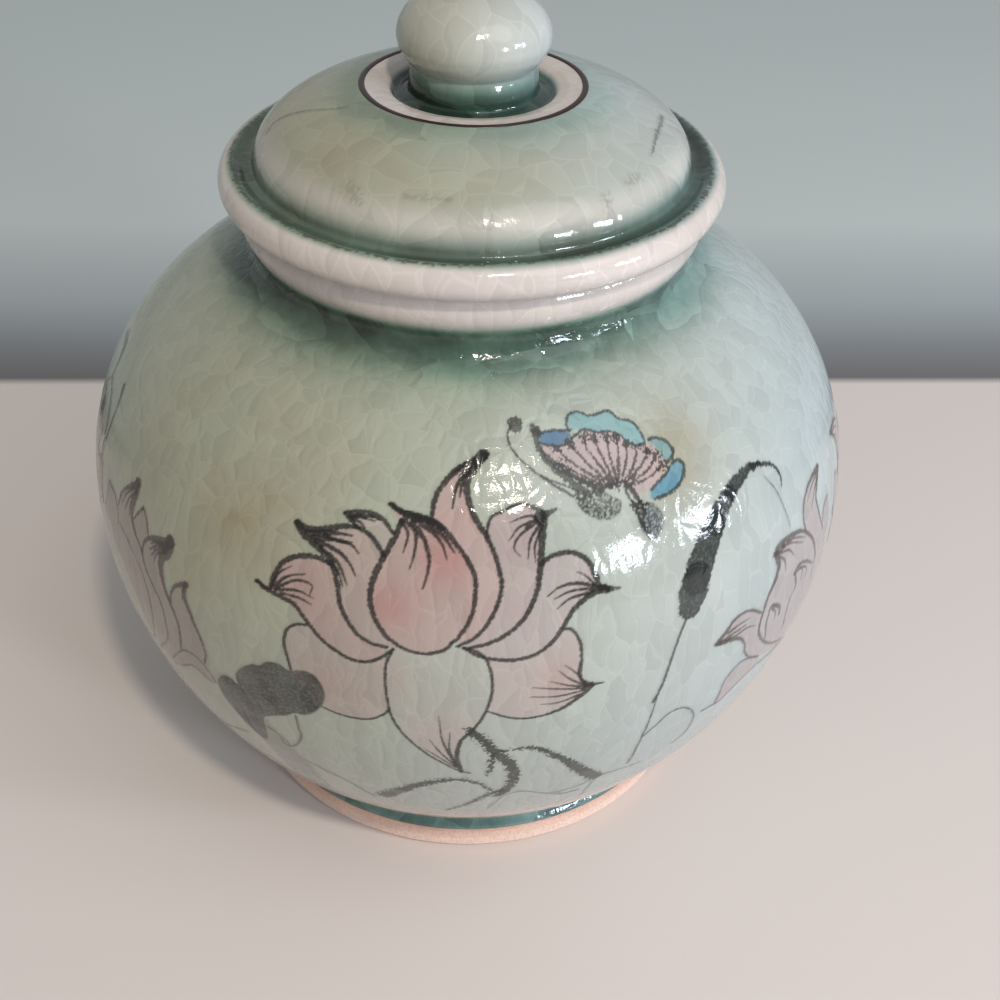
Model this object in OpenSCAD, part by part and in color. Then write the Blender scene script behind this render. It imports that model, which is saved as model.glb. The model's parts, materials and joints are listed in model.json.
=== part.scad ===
// Round lidded jar in stoneware with a crackled celadon glaze.
// Millimetres, +Z up, the origin is the centre of the foot on the table.
// Each clay piece is turned from an outline of [radius, height] points. Each glaze coat follows
// the clay outline under it, thick where glaze stands in a hollow and thin where it drains off an edge.

/* [Belly] */
// Outside diameter of the clay at its widest
belly_d = 148.8; // [130:0.2:168]
// Height of the widest point above the table
belly_z = 67.7; // [62:0.1:74]
// Rise of the shoulder curve from the widest point to the axis
shoulder_h = 54; // [48:0.5:62]
// Fullness of the shoulder curve, where 2 is an ellipse
shoulder_full = 2.3; // [2:0.05:2.8]
// Drop of the lower curve from the widest point to the axis
under_h = 79.2; // [75:0.2:90]
// Fullness of the lower curve, where 2 is an ellipse
under_full = 1.87; // [1.7:0.01:2.2]
// Thickness of the thrown wall
wall_t = 4.4; // [3:0.1:6]
// Thickness of the floor inside the foot
floor_t = 5.4; // [4:0.1:9]
// Radius of the curve between the floor and the wall inside
floor_round = 10; // [6:0.5:14]

/* [Foot] */
// Diameter of the foot on the table
foot_d = 99.2; // [90:0.2:108]
// Height of the bare foot ring, up to the glaze line
foot_h = 5.5; // [4.6:0.1:8]
// Width of the foot ring on the table
foot_w = 5.6; // [4:0.1:9]
// Bevel that is turned on the edges of the foot ring
foot_bevel = 0.8; // [0.3:0.1:1.2]
// Inward lean of the foot ring's two sides
foot_lean = 0.7; // [0:0.1:1.5]
// Height of the hollow between the foot ring and the belly
foot_hollow_h = 5.6; // [4:0.1:7]
// Depth that the hollow is cut in from the foot ring
foot_hollow_in = 1.6; // [0.8:0.1:2.4]

/* [Neck and lip] */
// Outside diameter in the groove under the lip
neck_d = 79.2; // [74:0.2:86]
// Width of the curve that turns the shoulder up into the neck
neck_turn = 3.4; // [2.5:0.1:5]
// Height of that curve
neck_rise = 4.4; // [3:0.1:6]
// How far the lip stands out from the neck
lip_out = 2.5; // [1:0.1:4]
// Height from the neck's narrowest line to the lip's widest line
lip_rise = 5.4; // [4:0.1:8]
// Height from the lip's widest line to the seat
lip_top = 3.1; // [2:0.1:5]
// Thickness of the wall at the neck, in to the mouth
neck_t = 4.6; // [3.6:0.1:6]
// Rounding of the mouth's inner edge
mouth_round = 1; // [0.5:0.1:1.6]
// Height under the seat that is wiped clean of glaze
wiped_h = 0.7; // [0.5:0.1:1.4]

/* [Lid] */
// How far the lid's rim reaches out past the lip
lid_over = 3.2; // [2.4:0.1:6]
// Height of the rim's widest line above the seat
rim_side = 2.9; // [2:0.1:4]
// Height of the rim's top above the seat
rim_h = 5.7; // [5:0.1:8]
// Width of the rolled rim, from its widest line in to its top
rim_w = 2.5; // [2:0.1:3.4]
// Distance from the rim's top in to the bottom of the groove
groove_in = 2.2; // [1.8:0.1:3]
// Depth of the groove below the rim's top
groove_depth = 1.5; // [0.8:0.1:2]
// Distance from the bottom of the groove in to the dome's side
dome_in = 2; // [1.6:0.1:3]
// Height of the dome's crest above the seat
crest_h = 18.5; // [14:0.1:26]
// Outer diameter of the crest's flat ring
crest_d = 40.6; // [36:0.2:46]
// Width of the crest's flat ring
crest_w = 1.6; // [1.3:0.1:3]
// Slope of the dome where it meets the crest
crown_slope = 19; // [10:1:30]
// Fullness of the dome's side
dome_side = 6; // [3:0.5:9]
// Fullness of the dome's top
dome_top = 10.5; // [6:0.5:14]
// Diameter of the well around the knob
well_d = 30; // [27:0.2:33]
// Drop of the sloping band between the crest and the well
band_drop = 0.5; // [0.2:0.1:1.2]
// Depth of the well below the band
well_depth = 1.5; // [1:0.1:3]
// Thickness of the lid
lid_t = 4.4; // [3:0.1:6]
// Length of the collar that keeps the lid in the mouth
collar_h = 8; // [5:0.5:12]
// Thickness of the collar
collar_t = 3.4; // [2.4:0.1:4.5]
// Gap all round between the collar and the glazed mouth
lid_gap = 0.8; // [0.5:0.1:1.5]

/* [Knob] */
// Diameter of the ball
knob_d = 25.6; // [22:0.2:30]
// Height of the ball from its underside to its top
knob_h = 15.6; // [13:0.2:22]
// Height of the ball's widest line above the bottom of the well
knob_rise = 11; // [10:0.1:15]
// Diameter of the crease between the ball and its neck
knob_crease_d = 20; // [16:0.2:21]
// How far the knob's neck swells out from the crease
knob_swell = 0.6; // [0.2:0.1:1.2]
// Diameter of the knob's neck where it is stuck to the lid
knob_foot_d = 20; // [16:0.2:22]

/* [Glaze and line] */
// Thickness of the outside glaze on an open surface
coat_t = 0.6; // [0.4:0.05:0.9]
// Thickness of the outside glaze where it stands in a hollow
pool_t = 1.1; // [0.9:0.05:1.3]
// Thickness of the outside glaze on an edge
edge_t = 0.3; // [0.2:0.05:0.4]
// Thickness of the inside glaze
inner_t = 0.4; // [0.3:0.05:0.6]
// Width of the painted line round the crest
line_w = 1.1; // [0.6:0.1:1.2]
// Thickness of the painted line
line_t = 0.2; // [0.1:0.05:0.3]

/* [Hidden] */
$fn = 120;

// Straight steps along a small curve, the dome, the ball and each half of the belly
SMALL_STEPS = 8;
DOME_STEPS = 20;
BALL_STEPS = 14;
BELLY_STEPS = 24;

belly_r = belly_d / 2;
foot_r = foot_d / 2;
neck_r = neck_d / 2;
mouth_r = neck_r - neck_t;
lid_r = neck_r + lip_out + lid_over;
crest_r = crest_d / 2;
well_r = well_d / 2;

// The point of an oval with half-axes a and b at an angle from its widest point
function oval(a, b, full, angle) = [a * pow(cos(angle), 2 / full), b * pow(sin(angle), 2 / full)];

// The angle at which the oval has come in to radius r, or has moved h from its widest point
function angle_at_radius(a, full, r) = acos(pow(r / a, full / 2));
function angle_at_height(b, full, h) = asin(pow(h / b, full / 2));

// A smooth curve that leaves point a along u and reaches point b along v
function blend(a, u, b, v, steps = SMALL_STEPS) = [
    for (i = [0:steps]) let (t = i / steps, s = 1 - t)
        s * s * s * a + 3 * s * s * t * (a + u) + 3 * s * t * t * (b - v) + t * t * t * b
];

// A list without its first point, for joining curves end to end
function rest(list) = [for (i = [1:len(list) - 1]) list[i]];
function reversed(list) = [for (i = [len(list) - 1:-1:0]) list[i]];
function unit(v) = v / norm(v);

// The direction along an outline at point i, and the direction square to it, to the right
function along(path, i) = unit(path[min(i + 1, len(path) - 1)] - path[max(i - 1, 0)]);
function outward(path, i) = [along(path, i)[1], -along(path, i)[0]];

// How near a point is to the nearest of some [place, reach] pairs, from 0 to 1
function share(p, places) = max([for (place = places) exp(-pow(norm(p - place[0]) / place[1], 2))]);

// The distance from a point to an outline
function clearance(p, path) = min([
    for (i = [1:len(path) - 1]) let (a = path[i - 1], d = path[i] - a, t = (p - a) * d / (d * d))
        norm(p - a - d * max(0, min(1, t)))
]);

// Thickness of the outside glaze at a point, from the hollows and edges near it
function coat(p, hollows, edges) =
    coat_t + (pool_t - coat_t) * share(p, hollows) - (coat_t - edge_t) * share(p, edges);

// The outline of a glaze surface: the clay outline moved out by the glaze's thickness.
// A point that lands nearer to another stretch of clay is inside the glaze, so it is left out.
function glazed(path, hollows, edges) = [
    for (i = [0:len(path) - 1])
        let (t = coat(path[i], hollows, edges), p = path[i] + outward(path, i) * t)
            if (clearance(p, path) > t * 0.96) [path[i][0] == 0 ? 0 : p[0], p[1]]
];

// The belly, as two ovals that share the widest point
shoulder_angle = angle_at_radius(belly_r, shoulder_full, neck_r + neck_turn);
under_angle = angle_at_height(under_h, under_full, belly_z - foot_h - foot_hollow_h);
belly = concat(
    [for (i = [BELLY_STEPS:-1:1])
        let (p = oval(belly_r, under_h, under_full, under_angle * i / BELLY_STEPS)) [p[0], belly_z - p[1]]],
    [for (i = [0:BELLY_STEPS])
        let (p = oval(belly_r, shoulder_h, shoulder_full, shoulder_angle * i / BELLY_STEPS)) [p[0], belly_z + p[1]]]
);
belly_foot = belly[0];
belly_end = belly[len(belly) - 1];

// The seam on which the foot ring is stuck, and the deepest line of the hollow above it
foot_top = [foot_r - foot_lean, foot_h];
foot_hollow = [min(foot_top[0], belly_foot[0]) - foot_hollow_in, foot_h + foot_hollow_h * 0.45];

// The neck's narrowest line, the lip's widest line and the seat
neck = [neck_r, belly_end[1] + neck_rise];
lip = [neck_r + lip_out, neck[1] + lip_rise];
seat_z = lip[1] + lip_top;
seat_out = [neck_r, seat_z];

// The outside of the jar's clay, from the foot seam up to the seat
jar_outside = concat(
    blend(foot_top, [-0.3, 0.8] * foot_hollow_in / 2, foot_hollow, [0, foot_hollow_h / 4]),
    rest(blend(foot_hollow, [0, foot_hollow_h / 4], belly_foot, along(belly, 0) * foot_hollow_h / 4)),
    rest(belly),
    rest(blend(belly_end, along(belly, len(belly) - 1) * neck_turn * 0.6, neck, [0, neck_rise * 0.4])),
    rest(blend(neck, [0, lip_rise * 0.4], lip, [0, lip_rise * 0.45])),
    rest(blend(lip, [0, lip_top * 0.55], seat_out, [-lip_out * 0.55, 0]))
);

// The inside of the jar's clay, from the mouth's edge down to the middle of the floor
inner_r = belly_r - wall_t;
inner_top = shoulder_h - wall_t;
inner_low = under_h - wall_t;
floor_z = foot_h + floor_t;
inner_angle = angle_at_radius(inner_r, shoulder_full, mouth_r + wall_t);
floor_angle = angle_at_height(inner_low, under_full, belly_z - floor_z - floor_round);
inner_belly = concat(
    [for (i = [BELLY_STEPS:-1:1])
        let (p = oval(inner_r, inner_top, shoulder_full, inner_angle * i / BELLY_STEPS)) [p[0], belly_z + p[1]]],
    [for (i = [0:BELLY_STEPS])
        let (p = oval(inner_r, inner_low, under_full, floor_angle * i / BELLY_STEPS)) [p[0], belly_z - p[1]]]
);
inner_end = inner_belly[len(inner_belly) - 1];
throat = [mouth_r, inner_belly[0][1] + wall_t];
floor_edge = [inner_end[0] - floor_round * 1.4, floor_z];
jar_inside = concat(
    blend([mouth_r + mouth_round, seat_z], [-mouth_round * 0.55, 0],
        [mouth_r, seat_z - mouth_round], [0, -mouth_round * 0.55]),
    blend(throat, [0, -wall_t * 0.5], inner_belly[0], along(inner_belly, 0) * wall_t * 0.5),
    rest(inner_belly),
    rest(blend(inner_end, along(inner_belly, len(inner_belly) - 1) * floor_round * 0.6,
        floor_edge, [-floor_round * 0.6, 0])),
    [[0, floor_z]]
);

// Where glaze stands and where it drains on the jar, as [place, reach] pairs
jar_hollows = [[foot_hollow, 4], [neck, 4]];
jar_edges = [[lip, 3], [seat_out, 3]];
jar_glazed = [for (p = jar_outside) if (p[1] <= seat_z - wiped_h) p];
jar_glaze_outside = glazed(jar_glazed, jar_hollows, jar_edges);

// The lid's main lines, from its edge in to the knob
rim_edge = [lid_r, seat_z + rim_side];
rim_top = [lid_r - rim_w, seat_z + rim_h];
groove = [rim_top[0] - groove_in, rim_top[1] - groove_depth];
dome_edge = [groove[0] - dome_in, groove[1] + dome_in * 0.8];
crest = [crest_r, seat_z + crest_h];
band = [crest_r - crest_w, crest[1]];
well_edge = [well_r, crest[1] - band_drop];
well_z = well_edge[1] - well_depth;
well_floor = [well_r - well_depth * 1.2, well_z];
rim_under = [lid_r - rim_w * 1.2, seat_z];
crown = [-cos(crown_slope), sin(crown_slope)];

// The outside of the lid's clay, from the seat up and in to the well's floor
lid_outside = concat(
    blend(rim_under, [rim_w * 0.5, 0], rim_edge, [0, rim_side * 0.6]),
    rest(blend(rim_edge, [0, (rim_h - rim_side) * 0.55], rim_top, [-rim_w * 0.45, 0])),
    rest(blend(rim_top, [-groove_in * 0.5, 0], groove, [-groove_in * 0.5, 0])),
    rest(blend(groove, [-dome_in * 0.6, 0], dome_edge, [0, dome_in * 0.4])),
    rest(blend(dome_edge, [0, dome_side], crest, crown * dome_top, DOME_STEPS)),
    [band],
    rest(blend(band, unit(well_edge - band), well_edge, unit(well_edge - band))),
    rest(blend(well_edge, [-well_depth * 0.4, -well_depth * 0.5], well_floor, [-well_depth * 0.6, 0]))
);

// The outside of the knob's clay, from the well's floor to the top
knob_z = well_z + knob_rise;
crease_angle = angle_at_radius(knob_d / 2, 2, knob_crease_d / 2);
knob_ball = concat(
    [for (i = [BALL_STEPS:-1:1])
        let (p = oval(knob_d / 2, knob_h / 2, 2, crease_angle * i / BALL_STEPS)) [p[0], knob_z - p[1]]],
    [for (i = [0:BALL_STEPS - 1])
        let (p = oval(knob_d / 2, knob_h / 2, 2, 90 * i / BALL_STEPS)) [p[0], knob_z + p[1]]],
    [[0, knob_z + knob_h / 2]]
);
knob_foot = [knob_foot_d / 2, well_z];
crease = knob_ball[0];
swell = [crease[0] + knob_swell, (well_z + crease[1]) / 2];
knob_outside = concat(
    blend(knob_foot, [0, 0.3] * knob_swell, swell, [0, 0.4] * (swell[1] - well_z)),
    rest(blend(swell, [0, 0.4] * (swell[1] - well_z), crease, [-0.5, 0.5] * knob_swell)),
    rest(knob_ball)
);

// Where glaze stands and where it drains on the lid, as [place, reach] pairs
lid_hollows = [[groove, 1.6], [knob_foot, 3.5]];
lid_edges = [[rim_under, 3], [rim_edge, 3], [rim_top, 1.5], [crest, 2], [band, 2.5], [well_edge, 2]];
lid_glazed = concat(lid_outside, knob_outside);
lid_glaze_outside = glazed(lid_glazed, lid_hollows, lid_edges);

// The underside of the lid's clay, from the middle out over the collar to the seat
collar_r = mouth_r - inner_t - lid_gap;
collar_in = collar_r - collar_t;
collar_z = seat_z - collar_h;
under_z = well_z - lid_t;
lid_underside = concat(
    [[0, under_z]],
    blend([well_r * 0.8, under_z], [(collar_in - well_r * 0.8) * 0.8, 0],
        [collar_in, seat_z], [0, (seat_z - under_z) * 0.75], DOME_STEPS),
    blend([collar_in, collar_z + collar_t / 2], [0, -collar_t * 0.3],
        [collar_r - collar_t / 2, collar_z], [collar_t * 0.3, 0]),
    rest(blend([collar_r - collar_t / 2, collar_z], [collar_t * 0.3, 0],
        [collar_r, collar_z + collar_t / 2], [0, collar_t * 0.3])),
    [[collar_r, seat_z]]
);

// A solid turned from a closed outline
module turned(outline) {
    rotate_extrude() polygon(outline);
}

module jar_body() {
    color("#b9a793") turned(concat([[0, foot_h]], jar_outside, jar_inside));
}

module foot_ring() {
    inner = foot_r - foot_w;
    color("#dcae93") turned([
        [inner, foot_bevel],
        [inner + foot_bevel, 0],
        [foot_r - foot_bevel, 0],
        [foot_r, foot_bevel],
        foot_top,
        [inner - foot_lean, foot_h],
    ]);
}

module jar_glaze() {
    color("#a9c0b4") turned(concat(jar_glazed, reversed(jar_glaze_outside)));
}

module inner_glaze() {
    // The inside coat is even, and stops under the mouth's wiped edge
    coated = [for (p = jar_inside) if (p[1] <= seat_z - mouth_round) p];
    face = [for (i = [0:len(coated) - 1]) let (p = coated[i] + outward(coated, i) * inner_t)
        [coated[i][0] == 0 ? 0 : p[0], p[1]]];
    color("#c3d0c6") turned(concat(coated, reversed(face)));
}

module lid_body() {
    color("#b9a793") turned(concat(lid_outside, [[0, well_z]], lid_underside));
}

module knob() {
    color("#c4b4a2") turned(concat([[0, well_z]], knob_outside));
}

module lid_glaze() {
    color("#a9c0b4") turned(concat(lid_glazed, reversed(lid_glaze_outside)));
}

module iron_line() {
    middle = (crest[0] + band[0]) / 2;
    color("#3a1c12")
        translate([0, 0, crest[1] + edge_t])
            difference() {
                cylinder(h = line_t, r = middle + line_w / 2);
                translate([0, 0, -1]) cylinder(h = line_t + 2, r = middle - line_w / 2);
            }
}

jar_body();
foot_ring();
jar_glaze();
inner_glaze();
lid_body();
knob();
lid_glaze();
iron_line();
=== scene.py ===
# %% [markdown]
# # A lidded celadon jar
# The jar is thrown stoneware: a clay body on a turned foot, a poured celadon glaze that crackles as it
# cools, and a painting of lotus flowers under the glaze. CAD has made the clay and the coats to size.
# Here the glazes get their smooth skins, their crackle and the painting. The CAD parts are loaded first,
# because every new piece takes its outline from them and so sits exactly where they say.

# %% Load the CAD parts
import json
import bpy
import numpy as np
from mathutils import Matrix

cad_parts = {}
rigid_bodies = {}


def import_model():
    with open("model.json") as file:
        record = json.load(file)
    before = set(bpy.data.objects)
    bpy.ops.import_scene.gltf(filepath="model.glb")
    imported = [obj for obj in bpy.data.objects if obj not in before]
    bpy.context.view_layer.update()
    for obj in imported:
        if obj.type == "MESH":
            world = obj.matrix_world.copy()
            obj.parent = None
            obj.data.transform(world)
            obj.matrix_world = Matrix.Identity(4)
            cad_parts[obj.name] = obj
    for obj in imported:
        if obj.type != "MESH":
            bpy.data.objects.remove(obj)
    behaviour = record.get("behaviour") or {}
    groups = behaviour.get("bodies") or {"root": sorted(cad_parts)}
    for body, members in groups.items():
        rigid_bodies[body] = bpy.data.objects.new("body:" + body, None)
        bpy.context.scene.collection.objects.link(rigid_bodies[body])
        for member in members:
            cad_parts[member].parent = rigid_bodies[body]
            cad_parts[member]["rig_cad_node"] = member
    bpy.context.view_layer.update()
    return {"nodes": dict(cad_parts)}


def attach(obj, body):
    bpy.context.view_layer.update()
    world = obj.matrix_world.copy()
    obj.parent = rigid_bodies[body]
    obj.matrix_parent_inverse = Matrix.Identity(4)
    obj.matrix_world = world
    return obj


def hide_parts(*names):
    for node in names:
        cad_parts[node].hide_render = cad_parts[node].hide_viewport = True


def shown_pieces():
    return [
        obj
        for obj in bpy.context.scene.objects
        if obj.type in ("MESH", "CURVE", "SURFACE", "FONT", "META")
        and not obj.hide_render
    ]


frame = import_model()
print("nodes:", sorted(frame["nodes"]))

# %% [markdown]
# ## Outlines from the CAD nodes
# Each node is turned about the upright axis, so its vertices lie on rings. The distance of a ring from
# the axis and its height give one point of the outline. The skin of a coat is what is left after the
# points that also belong to the clay are taken out. A smooth curve through the points takes away the
# small flats that the CAD outline is made of, which a glossy glaze would show.

# %% Read an outline


def rings(node):
    """Each ring of a turned node as (radius, height) in mm. The radius is the root of x squared plus y
    squared."""
    mesh = frame["nodes"][node].data
    place = np.empty(len(mesh.vertices) * 3)
    mesh.vertices.foreach_get("co", place)
    x, y, z = place.reshape(-1, 3).T * 1000
    found = np.unique(np.round(np.c_[np.hypot(x, y), z], 2), axis=0)
    far = np.linalg.norm(found[:, None] - found, axis=2)
    twin = np.triu(far < 0.04, 1).any(axis=0)
    return found[~twin]


def skin_of(node, *clay):
    """The rings of a coat that none of the clay nodes shares."""
    coat, under = rings(node), np.concatenate([rings(c) for c in clay])
    far = np.linalg.norm(coat[:, None] - under, axis=2).min(axis=1)
    return coat[far > 0.06], coat[far <= 0.06]


def in_order(points, start):
    """The points as a path, each followed by the nearest that is left."""
    left, path = list(range(len(points))), []
    at = int(np.argmin(np.linalg.norm(points - start, axis=1)))
    while left:
        left.remove(at)
        path.append(at)
        if left:
            at = left[int(np.argmin(np.linalg.norm(points[left] - points[at], axis=1)))]
    return points[path]


def to_axis(path):
    """The path carried level to the axis, for a flat floor that has no ring in its middle."""
    return np.vstack([path, [0, path[-1, 1]]]) if path[-1, 0] > 0.01 else path


def smooth(points, step=0.2, soft=0.35):
    """A curve through the points, one place every step mm: on each span a cubic that leaves and reaches
    its ends along the slopes there, then averaged with a bell curve soft mm wide. Its ends stay."""
    span = np.linalg.norm(np.diff(points, axis=0), axis=1)
    at = np.r_[0, np.cumsum(span)]
    slope = np.gradient(points, at, axis=0)
    s = np.linspace(0, at[-1], int(at[-1] / step) + 1)
    k = np.clip(np.searchsorted(at, s, "right") - 1, 0, len(span) - 1)
    h, t = span[k][:, None], ((s - at[k]) / span[k])[:, None]
    curve = ((1 + 2 * t) * (1 - t) ** 2 * points[k] + t * (1 - t) ** 2 * h * slope[k]
             + t * t * (3 - 2 * t) * points[k + 1] - t * t * (1 - t) * h * slope[k + 1])
    reach = int(3 * soft / step)
    bell = np.exp(-0.5 * (np.arange(-reach, reach + 1) * step / soft) ** 2)
    ends = (2 * curve[0] - curve[reach:0:-1], curve, 2 * curve[-1] - curve[-2:-reach - 2:-1])
    wide = np.concatenate(ends)
    out = np.stack([np.convolve(c, bell / bell.sum(), "valid") for c in wide.T], axis=1)
    out[0], out[-1] = points[0], points[-1]
    return out


jar_coat, jar_clay = skin_of("jar_glaze", "jar_body")
jar_coat = jar_coat[np.argsort(jar_coat[:, 1])]
jar_clay = jar_clay[np.argsort(-jar_clay[:, 1])]
lid_coat, lid_clay = skin_of("lid_glaze", "lid_body", "knob")
lid_clay = in_order(lid_clay, (43, 127))
off_clay = np.linalg.norm(lid_coat[:, None] - smooth(lid_clay), axis=2).min(axis=1)
lid_coat = in_order(lid_coat[off_clay > 0.3], (43, 127))
lid_clay = lid_clay[::-1]
inside_coat, inside_clay = skin_of("inner_glaze", "jar_body")
inside_coat = to_axis(in_order(inside_coat, (35, 126)))
inside_clay = to_axis(in_order(inside_clay, (35, 126)))[::-1]
print("rings: jar", len(jar_coat), "lid", len(lid_coat), "inside", len(inside_coat))

# %% [markdown]
# ## A mesh from a grid
# Every new piece is a grid of places, rows along the outline and columns round the axis. Places that
# coincide are merged, which closes the seam of a full turn and the pole of the knob.

# %% Make a mesh from a grid of places


def grid_piece(name, grid, body, cad=(), slot=None, keep=None, **layers):
    """A mesh over a grid of places in mm, with one face between each four neighbours. keep says which
    faces stay. Each layer is a value, or several, at every place of the grid."""
    rows, cols = grid.shape[:2]
    places = grid.reshape(-1, 3) / 1000
    _, first, same = np.unique(np.round(places * 1e7).astype(np.int64), axis=0,
                               return_index=True, return_inverse=True)
    n = same.reshape(rows, cols)
    faces = np.stack([n[:-1, :-1], n[:-1, 1:], n[1:, 1:], n[1:, :-1]], axis=-1).reshape(-1, 4)
    if keep is not None:
        faces = faces[keep.ravel()]
    double = faces == np.roll(faces, 1, axis=1)
    faces, double = faces[double.sum(1) < 2], double[double.sum(1) < 2]
    used, corners = np.unique(faces[~double], return_inverse=True)
    first = first[used]
    counts = 4 - double.sum(1)
    mesh = bpy.data.meshes.new(name)
    mesh.vertices.add(len(used))
    mesh.vertices.foreach_set("co", places[first].astype(np.float32).ravel())
    mesh.loops.add(len(corners))
    mesh.loops.foreach_set("vertex_index", corners.astype(np.int32).ravel())
    mesh.polygons.add(len(counts))
    mesh.polygons.foreach_set("loop_start", np.r_[0, np.cumsum(counts)[:-1]].astype(np.int32))
    for layer, values in layers.items():
        wide = values.shape[-1] if values.ndim == 3 else 1
        kind, key = {1: ("FLOAT", "value"), 3: ("FLOAT_VECTOR", "vector"), 4: ("FLOAT_COLOR", "color")}[wide]
        data = mesh.attributes.new(layer, kind, "POINT").data
        data.foreach_set(key, values.reshape(-1, wide)[first].astype(np.float32).ravel())
    mesh.update(calc_edges=True)
    mesh.validate()
    mesh.shade_smooth()
    piece = bpy.data.objects.new(name, mesh)
    bpy.context.scene.collection.objects.link(piece)
    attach(piece, body)
    if cad:
        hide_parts(*cad)
    print(f"{name}: {len(used)} places, {len(counts)} faces")
    return piece


# %% [markdown]
# ## The skin of a coat
# A thrown pot is never quite round: the hands leave a slow wave round it and a faint spiral ridge from
# the throwing. skin() gives the place on a coat at any angle and any distance along its outline, so
# the glaze and the painting on it share one surface. The angle is 0 at the front and grows to the right.

# %% Places on a skin
TURN = np.linspace(-180, 180, 321)


def path_of(points, wave, **how):
    """What skin() needs to know of an outline: distances along it, places, directions square to it, wave."""
    p = smooth(points, **how)
    s = np.r_[0, np.cumsum(np.linalg.norm(np.diff(p, axis=0), axis=1))]
    d = np.gradient(p, s, axis=0)
    d /= np.linalg.norm(d, axis=1)[:, None]
    return {"s": s, "p": p, "n": np.c_[d[:, 1], -d[:, 0]], "wave": wave}


def skin(path, angle, s, lift=0.0):
    """Place in mm at an angle in degrees and a distance along the outline, moved out by lift and by the
    thrower's wave: two slow cosines round the pot and one along it, which fade out near both ends."""
    a = np.radians(angle)
    r, z = (np.interp(s, path["s"], c) for c in path["p"].T)
    nr, nz = (np.interp(s, path["s"], c) for c in path["n"].T)
    fade = np.clip(np.minimum(s, path["s"][-1] - s) / 14, 0, 1) ** 2
    wave = path["wave"] * fade * (0.09 * np.cos(2 * a + 0.6) + 0.05 * np.cos(3 * a - 1 + s / 18)
                                  + 0.02 * np.cos(2 * np.pi * s / 5.2))
    out = lift + wave
    r, z = np.maximum(r + nr * out, 0), z + nz * out
    return np.stack([r * np.sin(a), -r * np.cos(a), z], axis=-1)


def round_and_up(place, angle, s):
    """Where the jar's crackle is looked up, in mm: round a cylinder and up by the distance along the
    outline. The cylinder narrows toward the neck, where the cells are broad."""
    a, r = np.radians(angle), np.interp(s, (95, 137), (60, 34))
    return np.stack([r * np.sin(a), -r * np.cos(a), s], axis=-1)


def broad_cells(place, angle, s):
    """Where the lid's crackle is looked up: its own place, made smaller, so that its cells are broad."""
    return 0.55 * place


def near(s, middle, reach, fall=2.0):
    """1 at a place along the outline, falling off like a bell over reach mm on both sides."""
    return np.exp(-np.abs((s - middle) / reach) ** fall)


jar = path_of(jar_coat, 1.0)
lid = path_of(lid_coat, 0.4, soft=0.25)
inside = path_of(inside_coat, 0.0)
jar_top = jar["s"][-1]
print("lengths of the outlines in mm:", [round(float(p["s"][-1]), 1) for p in (jar, lid, inside)])

# %% [markdown]
# ## The celadon coats
# Celadon is pale where it is thin, teal where it has pooled, and white where it has drained off a lip so
# that the clay shows through. The pieces carry that as a layer named coat: how far the glaze has pooled,
# how far it has drained, how stained it is, and a side tint: warm and darker toward the left, cool and
# lighter toward the right and the bottom. The side tint is partly the kiln's yellowing and partly painted
# shade and light, for a jar lit from the right.

# %% Glaze the outside of the jar
STAINS = ((-32, 96, 13, 1.0), (-38, 84, 10, 0.5), (33, 104, 8, 0.75), (-50, 100, 12, 0.6), (-24, 104, 8, 0.5))


def jar_coat_layer(angle, s):
    """Pooled, drained, stained and side-tinted shares on the jar, each a sum of bells along the outline. The
    side tint is partly yellowing, partly painted shade and light.
    """
    z = np.interp(s, jar["s"], jar["p"][:, 1])
    r = np.interp(s, jar["s"], jar["p"][:, 0])
    neck = jar_top - 8.6
    pooled = np.where(s < neck, near(s, neck, 7.6), near(s, neck, 2.2, 3)) * (1 - 0.3 * near(angle, 60, 38))
    pooled = np.maximum(pooled, 0.62 * near(s, 1.2, 4.6))
    drained = np.clip((s - (jar_top - 6.4)) / 1.6, 0, 1)
    stained = np.zeros_like(s + angle)
    for at, height, reach, much in STAINS:
        far = np.hypot(np.radians(angle - at) * r, z - height) / reach
        stained = np.maximum(stained, much * np.exp(-far ** 2))
    # Warmer and darker toward the left and the top, cooler and lighter toward the right and the bottom:
    # painted shade and light over some of the kiln's yellowing.
    yellow_and_side_light = np.clip(0.45 - np.sin(np.radians(angle - 20)) * 0.75 + (z - 75) / 160, 0, 1)
    return np.stack(np.broadcast_arrays(pooled, drained, stained, yellow_and_side_light), axis=-1)


def turned_coat(name, path, under, rows, shares, look_up, body, cad, slot):
    """A closed coat: its skin on a grid of rows by 320 columns, then the clay side back to the start."""
    s = np.linspace(0, path["s"][-1], rows)
    angle, s = np.meshgrid(TURN, s)
    back_angle, back = np.meshgrid(TURN, np.arange(len(under)))
    a = np.radians(back_angle)
    clay = np.stack([under[back, 0] * np.sin(a), -under[back, 0] * np.cos(a), under[back, 1]], axis=-1)
    front = skin(path, angle, s)
    grid = np.concatenate([front, clay, front[:1]])
    layers = {"coat": shares(angle, s), "glaze_mm": look_up(front, angle, s),
              "paint": np.zeros((*s.shape, 4))}
    for key, rows_of in layers.items():
        layers[key] = np.concatenate([rows_of, np.repeat(rows_of[-1:], len(under), 0), rows_of[:1]])
    return grid_piece(name, grid, body, cad, slot, **layers)


turned_coat("celadon_coat", jar, jar_clay[::4], 225, jar_coat_layer, round_and_up, "jar", ["jar_glaze"],
            "celadon_glaze")

# %% [markdown]
# The lid has the same glaze. It drains off the rim and the crest, and pools in the groove inside the rim
# and in the well round the knob. Inside the jar it was poured in and out, and a little stayed on the floor.

# %% Glaze the lid and the inside


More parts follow.
